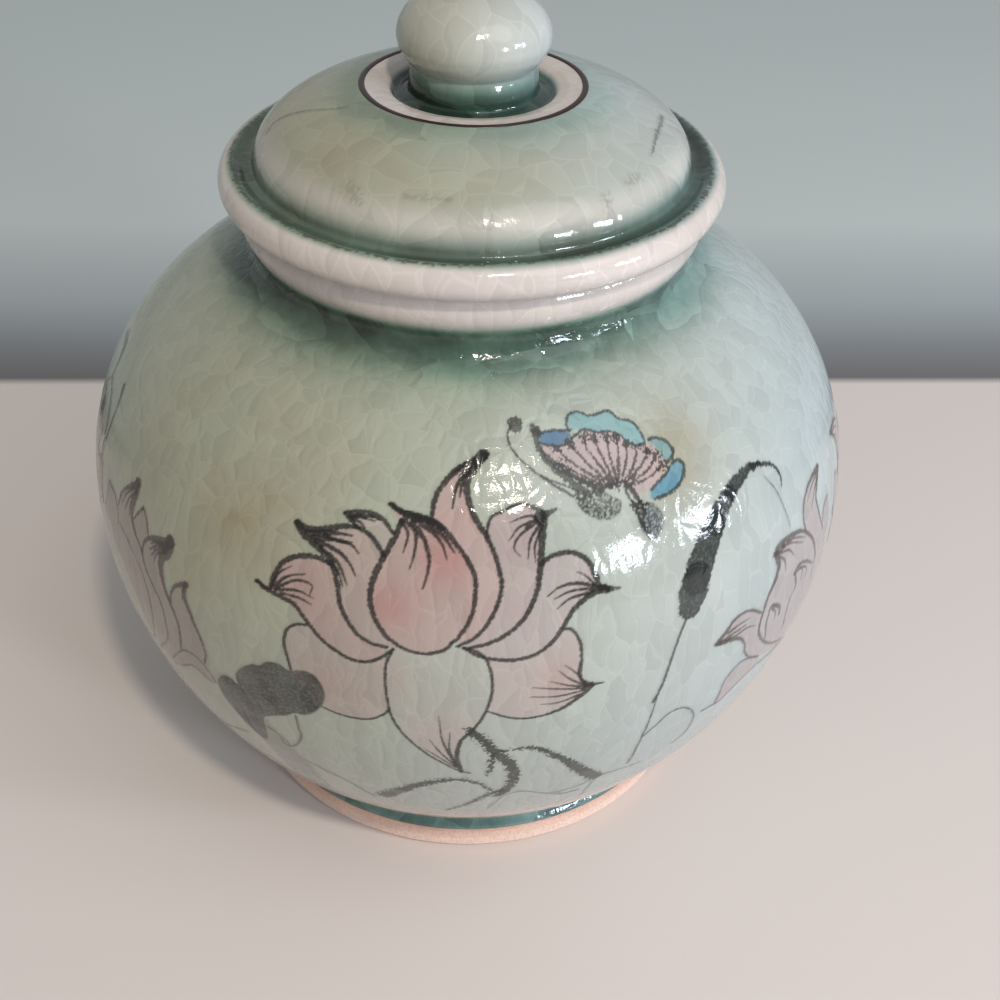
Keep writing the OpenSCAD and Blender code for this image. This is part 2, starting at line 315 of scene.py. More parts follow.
def lid_coat_layer(angle, s):
    """The same shares on the lid: pools in the groove inside the rim, round the knob and under the crest."""
    groove, crest, well, knob = 12.0, 38.9, 44.2, 48.0
    pooled = np.where(s > groove, near(s, groove, 5.0, 1.7), near(s, groove, 2.4, 3))
    pooled = np.maximum(pooled, 0.34 * np.where(s < crest, near(s, crest - 1.4, 5.0), 0))
    pooled = np.maximum(pooled, np.clip((s - well) / 0.8, 0, 1) * np.clip((knob + 6 - s) / 5, 0, 1))
    drained = np.clip((9.4 - s) / 1.0, 0, 1)
    drained = np.maximum(drained, np.clip((s - crest) / 0.5, 0, 1) * np.clip((well + 0.4 - s) / 0.7, 0, 1))
    # A paler band on the dome's shoulder, 6.5 mm past the groove.
    drained = np.maximum(drained, 0.5 * near(s, groove + 6.5, 2.6))
    drained = np.maximum(drained, 0.25 * np.clip((s - knob - 7) / 5, 0, 1))
    # Warm and darker toward the left, cool and lighter toward the right: painted shade and light, partly
    # yellowing. The brown on the dome is stronger toward the left along with this tint.
    yellow_and_side_light = np.clip(0.5 - np.sin(np.radians(angle - 20)) * 0.6, 0, 1)
    stained = (0.3 + 0.4 * yellow_and_side_light) * near(s, 25, 9)
    return np.stack(np.broadcast_arrays(pooled, drained, stained, yellow_and_side_light), axis=-1)


def inside_coat_layer(angle, s):
    """Inside, the glaze has pooled a little on the floor."""
    pooled = np.clip((s - 105) / 60, 0, 0.45)
    return np.stack(np.broadcast_arrays(pooled, 0.12, 0 * s + 0.1, 0.4 + 0 * angle), axis=-1)


turned_coat("lid_coat", lid, lid_clay[::2], 230, lid_coat_layer, broad_cells, "lid", ["lid_glaze"],
            "celadon_glaze")
turned_coat("inside_coat", inside, inside_clay[::4], 180, inside_coat_layer, broad_cells, "jar",
            ["inner_glaze"], "inside_glaze")

# %% [markdown]
# ## The iron line and the foot
# The line round the crest is iron oxide, brushed on while the lid turned on the wheel, so its width
# wavers a little. The foot is bare clay with turning marks. Both are a closed section carried round.

# %% Carry a section round the axis


def carried(name, section, body, cad, slot, waver=0.0):
    """A closed section of (radius, height) in mm turned about the axis; waver shifts its radius slowly."""
    loop = np.vstack([section, section[:1]])
    angle, k = np.meshgrid(TURN, np.arange(len(loop)))
    a = np.radians(angle)
    r = loop[k, 0] + waver * (np.sin(3 * a + 1) + 0.6 * np.sin(7 * a))
    grid = np.stack([r * np.sin(a), -r * np.cos(a), loop[k, 1]], axis=-1)
    return grid_piece(name, grid, body, cad, slot)


line = rings("iron_line")
middle, low = line[:, 0].mean(), line[:, 1].min()
t = np.radians(np.arange(-20, 201, 20))
carried("iron_brown_line", np.c_[middle + 0.56 * np.cos(t), low - 0.02 + 0.24 * np.sin(t)],
        "lid", ["iron_line"], "iron_oxide", waver=0.03)
foot = rings("foot_ring")
foot_in, foot_out, foot_top = foot[:, 0].min(), foot[:, 0].max(), foot[:, 1].max()
corners = np.array([(foot_in, foot_top), (foot_in + 0.6, 0.9), (foot_in + 1.5, 0.05), (foot_out - 1.0, 0.05),
                    (foot_out - 0.1, 0.9), (foot_out - 0.7, foot_top)])
share_along = np.linspace(0, 5, 61)
section = np.stack([np.interp(share_along, range(6), c) for c in corners.T], axis=1)
section[1:-1] = (section[:-2] + 2 * section[1:-1] + section[2:]) / 4
section[30:, 0] += 0.05 * np.sin(section[30:, 1] * 4.1)
section[:, 1] = np.maximum(section[:, 1], 0)
carried("turned_foot", section, "jar", ["foot_ring"], "foot_clay")

# %% [markdown]
# ## The painting
# The painter works on the biscuit clay with iron black, rose, blue and green pigments, and the glaze
# goes over them. A film of paint is a fine grid just above the skin. Each layer of it covers what is
# under it: first the thin washes of the petals, then the ink lines with their dry, grainy edges. Where
# there is no paint the film has no faces. Points are (angle in degrees, height in mm).

# %% [markdown]
# Two actions paint a film. stroke() measures how far each place is from a curve and inks those nearer
# than half the brush's width. wash() inks what lies inside a closed outline. Both work on whole arrays.

# %% Brush work
GRAIN = np.random.default_rng(7)


def curve(points, steps=10, closed=False):
    """A smooth curve through (angle, height) points: a Catmull-Rom cubic on each span."""
    p = np.array(points, float)
    p = np.vstack([p[-1:], p, p[:2]]) if closed else np.vstack([2 * p[0] - p[1], p, 2 * p[-1] - p[-2]])
    a, b, c, d = (p[i:len(p) - 3 + i, None] for i in range(4))
    t = np.linspace(0, 1, steps, endpoint=False)[:, None]
    out = 0.5 * (2 * b + (c - a) * t + (2 * a - 5 * b + 4 * c - d) * t ** 2
                 + (3 * b - a - 3 * c + d) * t ** 3)
    return np.vstack([out.reshape(-1, 2), p[-2:-1]])


def on_film(film, points):
    """Places on the film's skin for (angle, height) points, or (angle, distance along it) on the lid."""
    return skin(film["path"], points[:, 0], np.interp(points[:, 1], film["scale"], film["path"]["s"]))


def distance(places, line):
    """Distance in mm from each place to a line of points, and the share along it of the nearest spot."""
    a, d = line[:-1], np.diff(line, axis=0)
    best, where = np.full(len(places), 1e9), np.zeros(len(places))
    for k in range(0, len(places), 20000):
        q = places[k:k + 20000, None] - a
        t = np.clip((q * d).sum(-1) / np.maximum((d * d).sum(-1), 1e-9), 0, 1)
        far = np.linalg.norm(q - t[..., None] * d, axis=-1)
        at = far.argmin(axis=1)
        best[k:k + 20000] = far[np.arange(len(at)), at]
        where[k:k + 20000] = (at + t[np.arange(len(at)), at]) / len(a)
    return best, where


def cover(film, hit, share, colour):
    """Lays a colour over the film with a share from 0 to 1. Colour is kept times its share."""
    share = share[:, None]
    film["paint"][hit, :3] = film["paint"][hit, :3] * (1 - share) + linear(colour) * share
    film["paint"][hit, 3:] = film["paint"][hit, 3:] * (1 - share) + share


def reached(film, line, margin):
    """The film's places within a margin in mm of a line's box."""
    low, high = line.min(0) - margin, line.max(0) + margin
    return np.flatnonzero(((film["place"] > low) & (film["place"] < high)).all(axis=1))


def stroke(film, row, colour="211d18", dark=0.95, grain=0.45):
    """An ink line: start, middle and end width in mm, then points. Its edge is broken by a random grain."""
    w0, w1, w2, points = row
    line = on_film(film, curve(points))
    hit = reached(film, line, max(w0, w1, w2) / 2 + 0.6)
    far, along = distance(film["place"][hit], line)
    width = 1.1 * np.interp(along, (0, 0.5, 1), (w0, w1, w2))
    edge = width / 2 - far + film["grain"][hit] * grain * np.minimum(0.32, width / 3)
    cover(film, hit, np.clip(edge / 0.2 + 0.5, 0, 1) * dark * (1 - 0.15 * np.abs(film["grain"][hit])), colour)


def wash(film, points, colour, share, blush=(), dry=0.0):
    """A thin wash inside a closed outline. blush rows are (angle, height, reach in mm, share, colour). A
    dry brush leaves gaps in a grainy pattern."""
    ring = curve(points, steps=5, closed=True)
    line = on_film(film, ring)
    hit = reached(film, line, 1.0)
    far, _ = distance(film["place"][hit], line)
    x, y = film["angle"][hit], film["height"][hit]
    inside_it = np.zeros(len(hit), bool)
    for (u0, v0), (u1, v1) in zip(ring[:-1], ring[1:]):
        if v0 != v1:
            inside_it ^= ((v0 > y) != (v1 > y)) & (x < (u1 - u0) * (y - v0) / (v1 - v0) + u0)
    within = np.clip(np.where(inside_it, far, -far) / 0.4 + 0.5, 0, 1)
    mottle = 0.93 + 0.05 * np.sin(0.9 * x + 1.7 * np.sin(0.31 * y))
    mottle += 0.04 * np.sin(0.53 * y - 1.3 * np.sin(0.47 * x))
    gaps = np.clip(1 - dry * (0.5 - 1.4 * film["grain"][hit]), 0, 1)
    cover(film, hit, within * share * mottle * gaps, colour)
    for angle, height, reach, more, tint in blush:
        spot = on_film(film, np.array([[angle, height]]))
        bell = np.exp(-(np.linalg.norm(film["place"][hit] - spot, axis=1) / reach) ** 2)
        cover(film, hit, within * bell * more, tint)


def linear(colour):
    """An sRGB hex colour as linear numbers."""
    c = np.array([int(colour[i:i + 2], 16) for i in (0, 2, 4)]) / 255
    return np.where(c <= 0.04045, c / 12.92, ((c + 0.055) / 1.055) ** 2.4)


def new_film(angles, heights, step, path=None, scale=None, radius=73):
    """A grid over a range of angles and heights with one place every step mm, on the jar or on a path
    whose second coordinate is measured by scale. The grain is a random field, softened by its neighbours."""
    path, scale = (jar, jar["p"][:, 1]) if path is None else (path, scale)
    s = np.interp(heights, scale, path["s"])
    rows = int((s[1] - s[0]) / step)
    cols = int(np.radians(angles[1] - angles[0]) * radius / step)
    angle, s = np.meshgrid(np.linspace(*angles, cols), np.linspace(*s, rows))
    height = np.interp(s, path["s"], scale)
    grain = GRAIN.uniform(-1, 1, angle.shape)
    grain = (grain + np.roll(grain, 1, 0) + np.roll(grain, 1, 1) + np.roll(grain, (1, 1), (0, 1))) / 2.4
    return {"shape": angle.shape, "angle": angle.ravel(), "height": height.ravel(), "s": s.ravel(),
            "place": skin(path, angle, s, lift=0.03).reshape(-1, 3), "paint": np.zeros((angle.size, 4)),
            "grain": grain.clip(-1, 1).ravel(), "path": path, "scale": scale}


def finish_film(name, film, body="jar", shares=jar_coat_layer, look_up=round_and_up):
    """Makes the film a piece. A face stays where any of its corners has paint."""
    shape = film["shape"]
    paint = film["paint"].reshape(*shape, 4)
    has = paint[..., 3] > 0.004
    keep = has[:-1, :-1] | has[:-1, 1:] | has[1:, 1:] | has[1:, :-1]
    angle, s = film["angle"].reshape(shape), film["s"].reshape(shape)
    place = film["place"].reshape(*shape, 3)
    return grid_piece(name, place, body, (), "celadon_glaze", keep, coat=shares(angle, s),
                      glaze_mm=look_up(place, angle, s), paint=paint)


def turned_by(rows, about, to=None):
    """The same rows mirrored about one angle, and moved so that this angle comes to another."""
    to = about if to is None else to
    flip = [[(round(to - (a - about), 1), z) for a, z in row[-1]] for row in rows]
    return [(*row[:-1], points) for row, points in zip(rows, flip)]

# %% [markdown]
# ### Where the brush goes
# Lotus flowers, a butterfly, a cattail and water grass are common on such jars. Each row is a stroke:
# its width in mm at the start, middle and end, and its points. Washes are closed outlines.

# %% The strokes
LOTUS = [
    (0.9, 0.8, 0.6, [(-11.3, 101.1), (-9.9, 100.5), (-8, 100.1), (-5.3, 99.7), (-3.4, 98.6), (-1.6, 96.7),
         (-0.1, 94.7), (0.8, 92.5), (0.9, 90.2), (0.6, 87.4), (-0.2, 84.9), (-1.3, 82.8), (-2, 81.9)]),
    (0.6, 1.5, 0.7, [(-11.3, 101.1), (-9.5, 100.3), (-7.6, 99.9), (-5.3, 99.6), (-3.6, 98.7)]),
    (0.9, 0.95, 0.7, [(-9.5, 99.3), (-10, 97.5), (-10.7, 96), (-11.6, 93.8), (-12.4, 91.4), (-12.7, 89.4),
         (-12.5, 87), (-11.7, 84.5), (-10.2, 82.1), (-8.5, 80.6)]),
    (0.6, 0.6, 0.6, [(-8.5, 80.6), (-7.2, 80), (-5.5, 79.7), (-4.2, 80), (-2.9, 80.7), (-2, 81.9)]),
    (1.6, 0.9, 0.7, [(2.2, 107.1), (0.5, 106.4), (-1.9, 105.5), (-3.8, 104.1), (-5, 102.2), (-5.3, 99.8)]),
    (1.2, 0.75, 0.6, [(2.2, 107), (0.7, 105.6), (-0.4, 104.2), (-0.2, 102.5), (0.9, 100), (2.4, 97.9), (3.5,
         95.4), (4.2, 92.4), (4.2, 90.2), (3.4, 87.4), (2.1, 84.6), (0.5, 82.6), (-1.3, 81.4)]),
    (1.8, 0.7, 0.3, [(2.1, 107), (-0.5, 105.5), (-2, 103.5), (-2.4, 101.2)]),
    (1.4, 0.6, 0.3, [(2, 106.8), (-0.5, 105.2), (-1.2, 103.8), (-1.4, 102.6)]),
    (0.5, 0.5, 0.5, [(2.4, 97.8), (2.6, 99.1), (3.2, 100.3), (4.5, 100.8)]),
    (0.5, 0.6, 1.0, [(4.5, 100.8), (6.2, 101.4), (8.1, 101.5), (9.6, 100.9), (10.6, 100.2)]),
    (0.5, 1.0, 1.2, [(12.4, 100.6), (11.5, 100.3), (10.6, 100.2), (9.8, 100)]),
    (1.3, 0.8, 0.6, [(10.6, 100.2), (10.1, 97.7), (9.7, 95.3), (9.4, 92.8), (9, 90.6), (8.2, 88.1), (6.8,
         85.5), (4.9, 83.4), (2.6, 81.9), (0.2, 81.1)]),
    (0.7, 0.85, 1.0, [(9.6, 93.8), (11.1, 94.7), (13.3, 95), (15.1, 94.3), (16.2, 93.1), (16.8, 91.3),
         (17.2, 89.6), (18.2, 88.8)]),
    (0.3, 0.9, 1.3, [(20.1, 88.4), (18.7, 88.6), (17.5, 89.1)]),
    (1.1, 0.7, 0.6, [(18.2, 88.6), (16.4, 88.5), (14.9, 87.6), (13.4, 86.2), (12.3, 84.2), (10.9, 81.7),
         (8.9, 79.6), (6.2, 78.6), (3.9, 78.8), (1.6, 79.5), (-0.5, 81.1)]),
    (0.5, 0.6, 0.9, [(12.1, 83.5), (13.3, 82.9), (14.3, 80.5), (14.5, 77.5), (14.3, 74.3), (14.9, 72.3),
         (16.1, 71.4)]),
    (0.3, 0.6, 1.0, [(17.6, 71.2), (16.4, 71.4), (15.3, 71.6)]),
    (0.9, 0.5, 0.4, [(16.1, 71.2), (14.4, 69), (12.2, 67), (9.9, 65.9), (7.1, 65.6), (4.8, 66.4), (2.6,
         67.8)]),
    (0.5, 0.5, 0.4, [(-9.4, 79.9), (-10.2, 77.2), (-10.4, 73.9), (-10.2, 69.9), (-9.8, 65.9), (-8.7, 62.1),
         (-7.1, 58.8), (-5.1, 55.6), (-3, 52.9), (-1.3, 50.9), (0.5, 49.8)]),
    (0.9, 0.5, 0.5, [(-0.7, 50.3), (-1.3, 54.4), (-1.2, 57.7), (-0.7, 60.4), (0.8, 63.3), (2.1, 66.9), (2.9,
         70.5), (3.1, 74.5), (2.5, 78.3), (1.3, 80.3), (-0.5, 81.1)]),
    (0.5, 0.6, 0.5, [(-23.2, 71.2), (-23.8, 74.6), (-24.1, 77.2), (-23.6, 79.5), (-22.3, 80.9), (-20.7,
         81.4)]),
    (0.4, 0.45, 0.5, [(-19.1, 64.3), (-16.7, 63.5), (-14.6, 63.4), (-12.5, 63.9), (-10.7, 65.7), (-10,
         67)]),
    (0.6, 0.9, 0.7, [(-28.6, 86), (-26.7, 85.7), (-26.3, 87.6), (-25.5, 89.9), (-24, 91.5), (-22.1, 92.3),
         (-20.2, 92.5), (-18.3, 91.9)]),
    (0.9, 0.7, 0.6, [(-28.6, 86), (-26.7, 85.2), (-24.5, 84.8), (-22.9, 84.3), (-21.5, 82.7), (-20.3, 81.2),
         (-18.8, 79.3), (-17, 77.9), (-14.9, 76.8), (-12.9, 76.8), (-11, 78), (-9.4, 79.9)]),
    (1.2, 0.8, 0.7, [(-24.2, 96.4), (-22.5, 96), (-20.6, 96.4), (-18.1, 97.3), (-15.9, 97.7), (-13.9, 97.1),
         (-12.6, 96.1), (-11.3, 94.5)]),
    (1.2, 0.85, 0.6, [(-24.2, 96.4), (-22.9, 95.1), (-20.9, 94.1), (-19, 92.8), (-17.8, 91.1), (-17.1,
         88.9), (-16.5, 86.1), (-15.4, 83.7), (-14, 81.7), (-12.2, 80.5), (-10.2, 80.2)]),
    (0.6, 0.8, 0.6, [(-17.7, 99.2), (-15.9, 99.6), (-13.8, 99.7), (-11.9, 99), (-10.4, 97.6)]),
    (0.6, 0.8, 0.6, [(-17.7, 99.1), (-16.6, 98.4), (-15.3, 97.5)]),
]
BUTTERFLY = [
    (0.35, 0.35, 0.45, [(7, 109.9), (6.3, 108.9), (6.9, 107.4), (8.8, 105.9), (10.5, 104.7), (12.5, 103.5),
         (15.3, 101.8)]),
    (0.3, 0.35, 0.35, [(10.9, 104.6), (12.6, 103.8), (14.7, 103), (16.7, 101.9)]),
    (2.2, 2.2, 2.2, [(7.8, 110), (7.8, 109.8)]),
    (0.6, 1.6, 1.0, [(10.6, 109.7), (11.1, 109.3), (11.5, 108.8)]),
    (1.0, 0.9, 1.4, [(11.2, 109.2), (11, 108.2), (11.6, 106.8), (13, 105.3), (14.6, 104.1), (16.2, 102.8),
         (17.4, 101.8)]),
    (0.5, 0.7, 1.0, [(11.5, 107.2), (13.1, 106), (14.8, 104.8), (16.7, 103.6), (18.7, 102.5)]),
    (0.4, 0.6, 1.0, [(11.8, 106.7), (13.7, 105.1), (15.7, 104), (18.1, 102.9), (19.8, 102)]),
    (0.6, 0.45, 0.45, [(11.6, 108.9), (14.2, 109), (16.7, 108.8), (17.3, 108.8)]),
    (0.45, 0.45, 0.45, [(16.7, 108.8), (16.9, 109.6), (17.5, 110.2), (19.4, 110.4), (21.4, 109.8), (24.7,
         109.9), (25.6, 109.5), (26.3, 108.9), (28.3, 108.3), (29.1, 107.2), (29.3, 105.9)]),
    (0.5, 0.5, 0.5, [(11.5, 107.9), (13.6, 107.5), (16.3, 107.5), (17.4, 108.1), (19.7, 108.6), (21.6,
         108.1), (23.8, 107.9), (25.4, 107.3), (26.1, 106.6), (27.4, 105.7), (29.2, 105.8)]),
    (0.5, 0.6, 0.6, [(30, 105.9), (31.1, 106), (32.2, 105.6), (33.2, 104.9), (33.4, 104.1), (32.7, 103.2),
         (31.3, 102.8)]),
    (0.5, 0.6, 0.5, [(32.3, 102.6), (33.6, 102.7), (34.2, 102), (33.5, 100.8), (32, 99.8), (29.9, 99.3),
         (27.6, 99.2)]),
    (0.4, 0.5, 0.5, [(32.3, 102.6), (30.7, 101.7), (29, 101.1), (27.4, 100.4)]),
    (0.6, 0.8, 0.6, [(24.3, 99.1), (24.6, 97.4), (25.1, 95.6), (25.9, 94.2)]),
    (0.6, 0.8, 0.6, [(24, 101.6), (24.7, 100.2), (25.2, 98.9), (25.4, 97.5)]),
]
CATTAIL = [
    (0.3, 0.7, 1.2, [(51, 91.8), (51.5, 93.1), (51.2, 94.7), (50.2, 96), (48.5, 96.8), (46.4, 97.5)]),
    (1.0, 2.3, 2.9, [(48, 97.1), (45.7, 97.4), (43.7, 97.1), (41.7, 96.5), (40.4, 95.9)]),
    (2.9, 3.6, 4.4, [(40.4, 95.9), (38.9, 95.1), (37.6, 94.1), (36.3, 92.9)]),
    (4.4, 5.4, 6.2, [(36.3, 92.9), (34.6, 91), (32.9, 88.5), (31.6, 85.7)]),
    (6.2, 6.3, 5.0, [(31.6, 85.7), (30.8, 83.5), (30.2, 81.3)]),
    (0.5, 0.55, 0.7, [(29.5, 79.3), (28.5, 76.6), (27.4, 72), (26.5, 66.8), (25.5, 62.6)]),
    (0.35, 0.4, 0.5, [(25.9, 63.5), (25.6, 57.6), (25.2, 51.7), (24.9, 42.6)]),
    (0.4, 0.4, 0.25, [(25.2, 52.1), (26.9, 54.4), (28.8, 57), (31.4, 56.7), (33.9, 53.1), (34.9, 48.9),
         (34.6, 44.8), (32.9, 42.8)]),
    (0.15, 0.25, 0.15, [(48.1, 94.9), (49.6, 91.7), (51, 84.6)]),
    (0.2, 0.35, 0.2, [(67.3, 101.2), (67.6, 98), (68.7, 93.7), (69.2, 89.6)]),
]
SPRIGS = [
    (1.6, 2.0, 1.6, [(0.3, 62.9), (1.8, 60.8), (3.3, 57.6), (4.7, 55), (6.3, 51.1), (6.7, 47), (6, 42.7),
         (4.6, 39.7)]),
    (0.6, 1.1, 0.5, [(3.6, 56.3), (3.4, 53.4), (2.9, 48.7)]),
    (0.5, 1.1, 2.6, [(4.8, 56.8), (7.4, 57.4), (10, 56.3), (12.8, 52.8), (16, 47.4), (19.8, 40.9)]),
    (0.5, 1.2, 2.4, [(4.1, 41.1), (1.7, 45.6), (-0.9, 47.2), (-3.9, 46.4), (-7, 43.9), (-10, 40.3), (-13,
         36.1)]),
    (1.3, 0.9, 0.5, [(5.2, 42.2), (2.6, 39.3), (-0.1, 34.7), (-3.4, 30.4)]),
    (0.2, 0.3, 0.2, [(3.5, 31.6), (5.8, 39.4), (8.9, 40.5), (12.9, 37.3), (17.5, 38.1), (21.7, 41.2)]),
    (0.3, 0.6, 0.3, [(13.2, 36.8), (15.8, 35.3), (18, 35.5)]),
    (0.2, 0.3, 0.2, [(19.6, 30.4), (20.2, 40), (23.5, 40.7), (27.7, 40.2)]),
    (0.2, 0.35, 0.2, [(-28.1, 45.5), (-22.2, 42.3), (-18.4, 39.4), (-14.7, 33.5)]),
]
LEAF = [
    (0.5, 0.5, 0.4, [(-23.4, 59.5), (-23.4, 55.8), (-23.4, 53.3), (-24.6, 49.8), (-26, 47.9), (-27.1, 47.9),
         (-27.3, 49.8)]),
    (0.5, 0.4, 0.4, [(-29.2, 52), (-27.2, 50.6), (-26.1, 48.4)]),
    (0.3, 0.4, 0.3, [(-41.6, 39.2), (-34.8, 44.6)]),
]
LEFT_LOTUS = [
    (0.5, 0.5, 0.4, [(-63.6, 82.8), (-63.8, 80.1), (-65.2, 75.7)]),
    (0.6, 0.5, 0.4, [(-63.6, 82.8), (-60.9, 82.4), (-59.2, 80.6), (-58.7, 78)]),
    (0.5, 0.8, 1.4, [(-59, 81.5), (-58.3, 84.7), (-56.3, 87.2), (-54.5, 88.9)]),
    (2.2, 1.0, 0.6, [(-54.5, 88.9), (-54.3, 86.8), (-54.6, 84.1), (-54, 82), (-52.5, 80), (-51, 78.4)]),
    (0.6, 0.5, 0.4, [(-51, 78.4), (-49.9, 75.5), (-48.2, 72.9), (-46.5, 70.2), (-46.1, 65.7), (-47, 60.8),
         (-51.4, 54.3)]),
    (0.4, 0.4, 0.4, [(-58, 78.3), (-55.6, 77.5), (-53.2, 75.6), (-50.8, 73), (-49.7, 68.6), (-50, 63.3),
         (-52.1, 56.3)]),
    (0.4, 0.5, 0.6, [(-53.8, 82.6), (-52.7, 84.7), (-51.7, 86.2)]),
    (0.6, 0.5, 0.5, [(-51.7, 86.4), (-50.5, 85), (-49.8, 83.3), (-49.3, 82.2)]),
    (0.5, 0.8, 2.2, [(-50.6, 77.3), (-50.7, 79.1), (-50, 81.1), (-48.2, 82.8), (-46.4, 83.4), (-44.4,
         84.4)]),
    (2.4, 1.0, 0.6, [(-44.5, 84.6), (-44.8, 82.4), (-46, 80.2), (-46, 78), (-45.2, 74.8), (-44.2, 72.5),
         (-43.1, 69.5), (-42.8, 66.1), (-43.6, 61.3)]),
    (0.4, 0.7, 1.2, [(-43.9, 72.3), (-43.8, 74.6), (-42.8, 76.9), (-41.7, 78), (-40.5, 78.9)]),
    (1.2, 0.7, 0.5, [(-40.7, 78.8), (-40.9, 76.3), (-40, 73.6), (-39, 71), (-38.1, 68.1), (-37.7, 65.3),
         (-38.4, 62.5)]),
    (0.4, 0.4, 0.4, [(-48.1, 54.3), (-43.6, 61), (-41.5, 62.6), (-39.5, 62.4), (-37.9, 60.5), (-37.1,
         58.2)]),
    (0.3, 0.4, 0.3, [(-48.4, 52.8), (-45, 55.6), (-41.6, 58.9), (-39.4, 58.4), (-37.9, 57.5)]),
]
RIGHT_LOTUS = [
    (0.9, 0.5, 0.4, [(62.3, 88.5), (59.4, 88.2), (56.9, 87.3), (55.2, 85.3), (54.8, 82.4), (55.3, 80.3)]),
    (0.9, 0.6, 0.4, [(62.4, 88.4), (60.7, 86.2), (59.6, 83.7), (60.4, 79.8), (62, 75.3)]),
    (0.5, 0.4, 0.3, [(64.2, 81), (62.4, 79.9), (61.6, 77.3)]),
    (1.4, 0.7, 0.5, [(46.7, 81.9), (47.6, 82.7), (49.5, 82.9), (52.1, 82.4), (54.4, 81.1), (57.1, 77.7),
         (58.7, 74), (59.5, 70.1), (59.2, 66)]),
    (1.2, 0.6, 0.6, [(46.8, 81.7), (47.4, 79), (46.6, 76.7), (45.2, 74.3), (44.3, 71.3), (43.9, 68.4),
         (44.2, 66), (46.1, 62.4), (49.5, 58.5), (54.7, 54.4)]),
    (0.7, 0.7, 0.4, [(51.9, 73.8), (53.3, 74.7), (55.9, 73.2), (58.5, 70.5)]),
    (0.6, 0.4, 0.4, [(52.2, 73.4), (52.8, 70), (51.7, 68.2), (51.3, 65.2), (52, 59.9)]),
    (0.5, 0.9, 0.5, [(45.7, 70.3), (46.5, 70.9), (48.6, 68.9), (48.9, 66.7)]),
    (0.5, 0.4, 0.3, [(45.9, 69.8), (45.6, 67), (46.4, 62.7)]),
    (1.2, 0.6, 0.5, [(35.1, 70.8), (36.6, 72.3), (37.9, 73.9), (39.7, 74.4), (41.7, 73.6), (43.8, 71.4)]),
    (1.2, 0.5, 0.4, [(35.3, 70.5), (37.6, 69.7), (39.7, 68.5), (41, 66.2), (41.5, 63.8), (43, 61.1), (46.2,
         58.2)]),
    (0.4, 0.4, 0.5, [(46.3, 57.9), (42.1, 61.1), (39.8, 60.2), (38.6, 57.5), (38.7, 53.4), (38.5, 51.4)]),
    (0.6, 0.5, 0.5, [(36, 51.5), (37.6, 51.4), (39.9, 51.2), (42.2, 53.2), (45.9, 55), (50.8, 53.8), (56,
         52.7)]),
]
LEFT_BUTTERFLY = [
    (1.0, 1.3, 0.5, [(-86.4, 97.4), (-82.8, 97.7), (-80.1, 96.4), (-78.6, 93.3)]),
    (0.4, 0.5, 0.6, [(-78.6, 93.3), (-74.6, 92.6), (-72.4, 91.2), (-70.9, 89.2), (-70.5, 87.5)]),
    (0.4, 0.4, 0.3, [(-79.2, 92.8), (-80.8, 90.4), (-79.3, 90.2)]),
    (1.0, 0.5, 0.6, [(-71, 96.5), (-69.8, 95), (-69.3, 93.1), (-69, 91), (-69.1, 87.2)]),
    (0.4, 1.4, 1.2, [(-78.4, 84.8), (-72.3, 86.4)]),
    (1.0, 0.8, 0.4, [(-69.5, 87), (-69.7, 84.7), (-69.5, 81.9), (-70.2, 78)]),
]
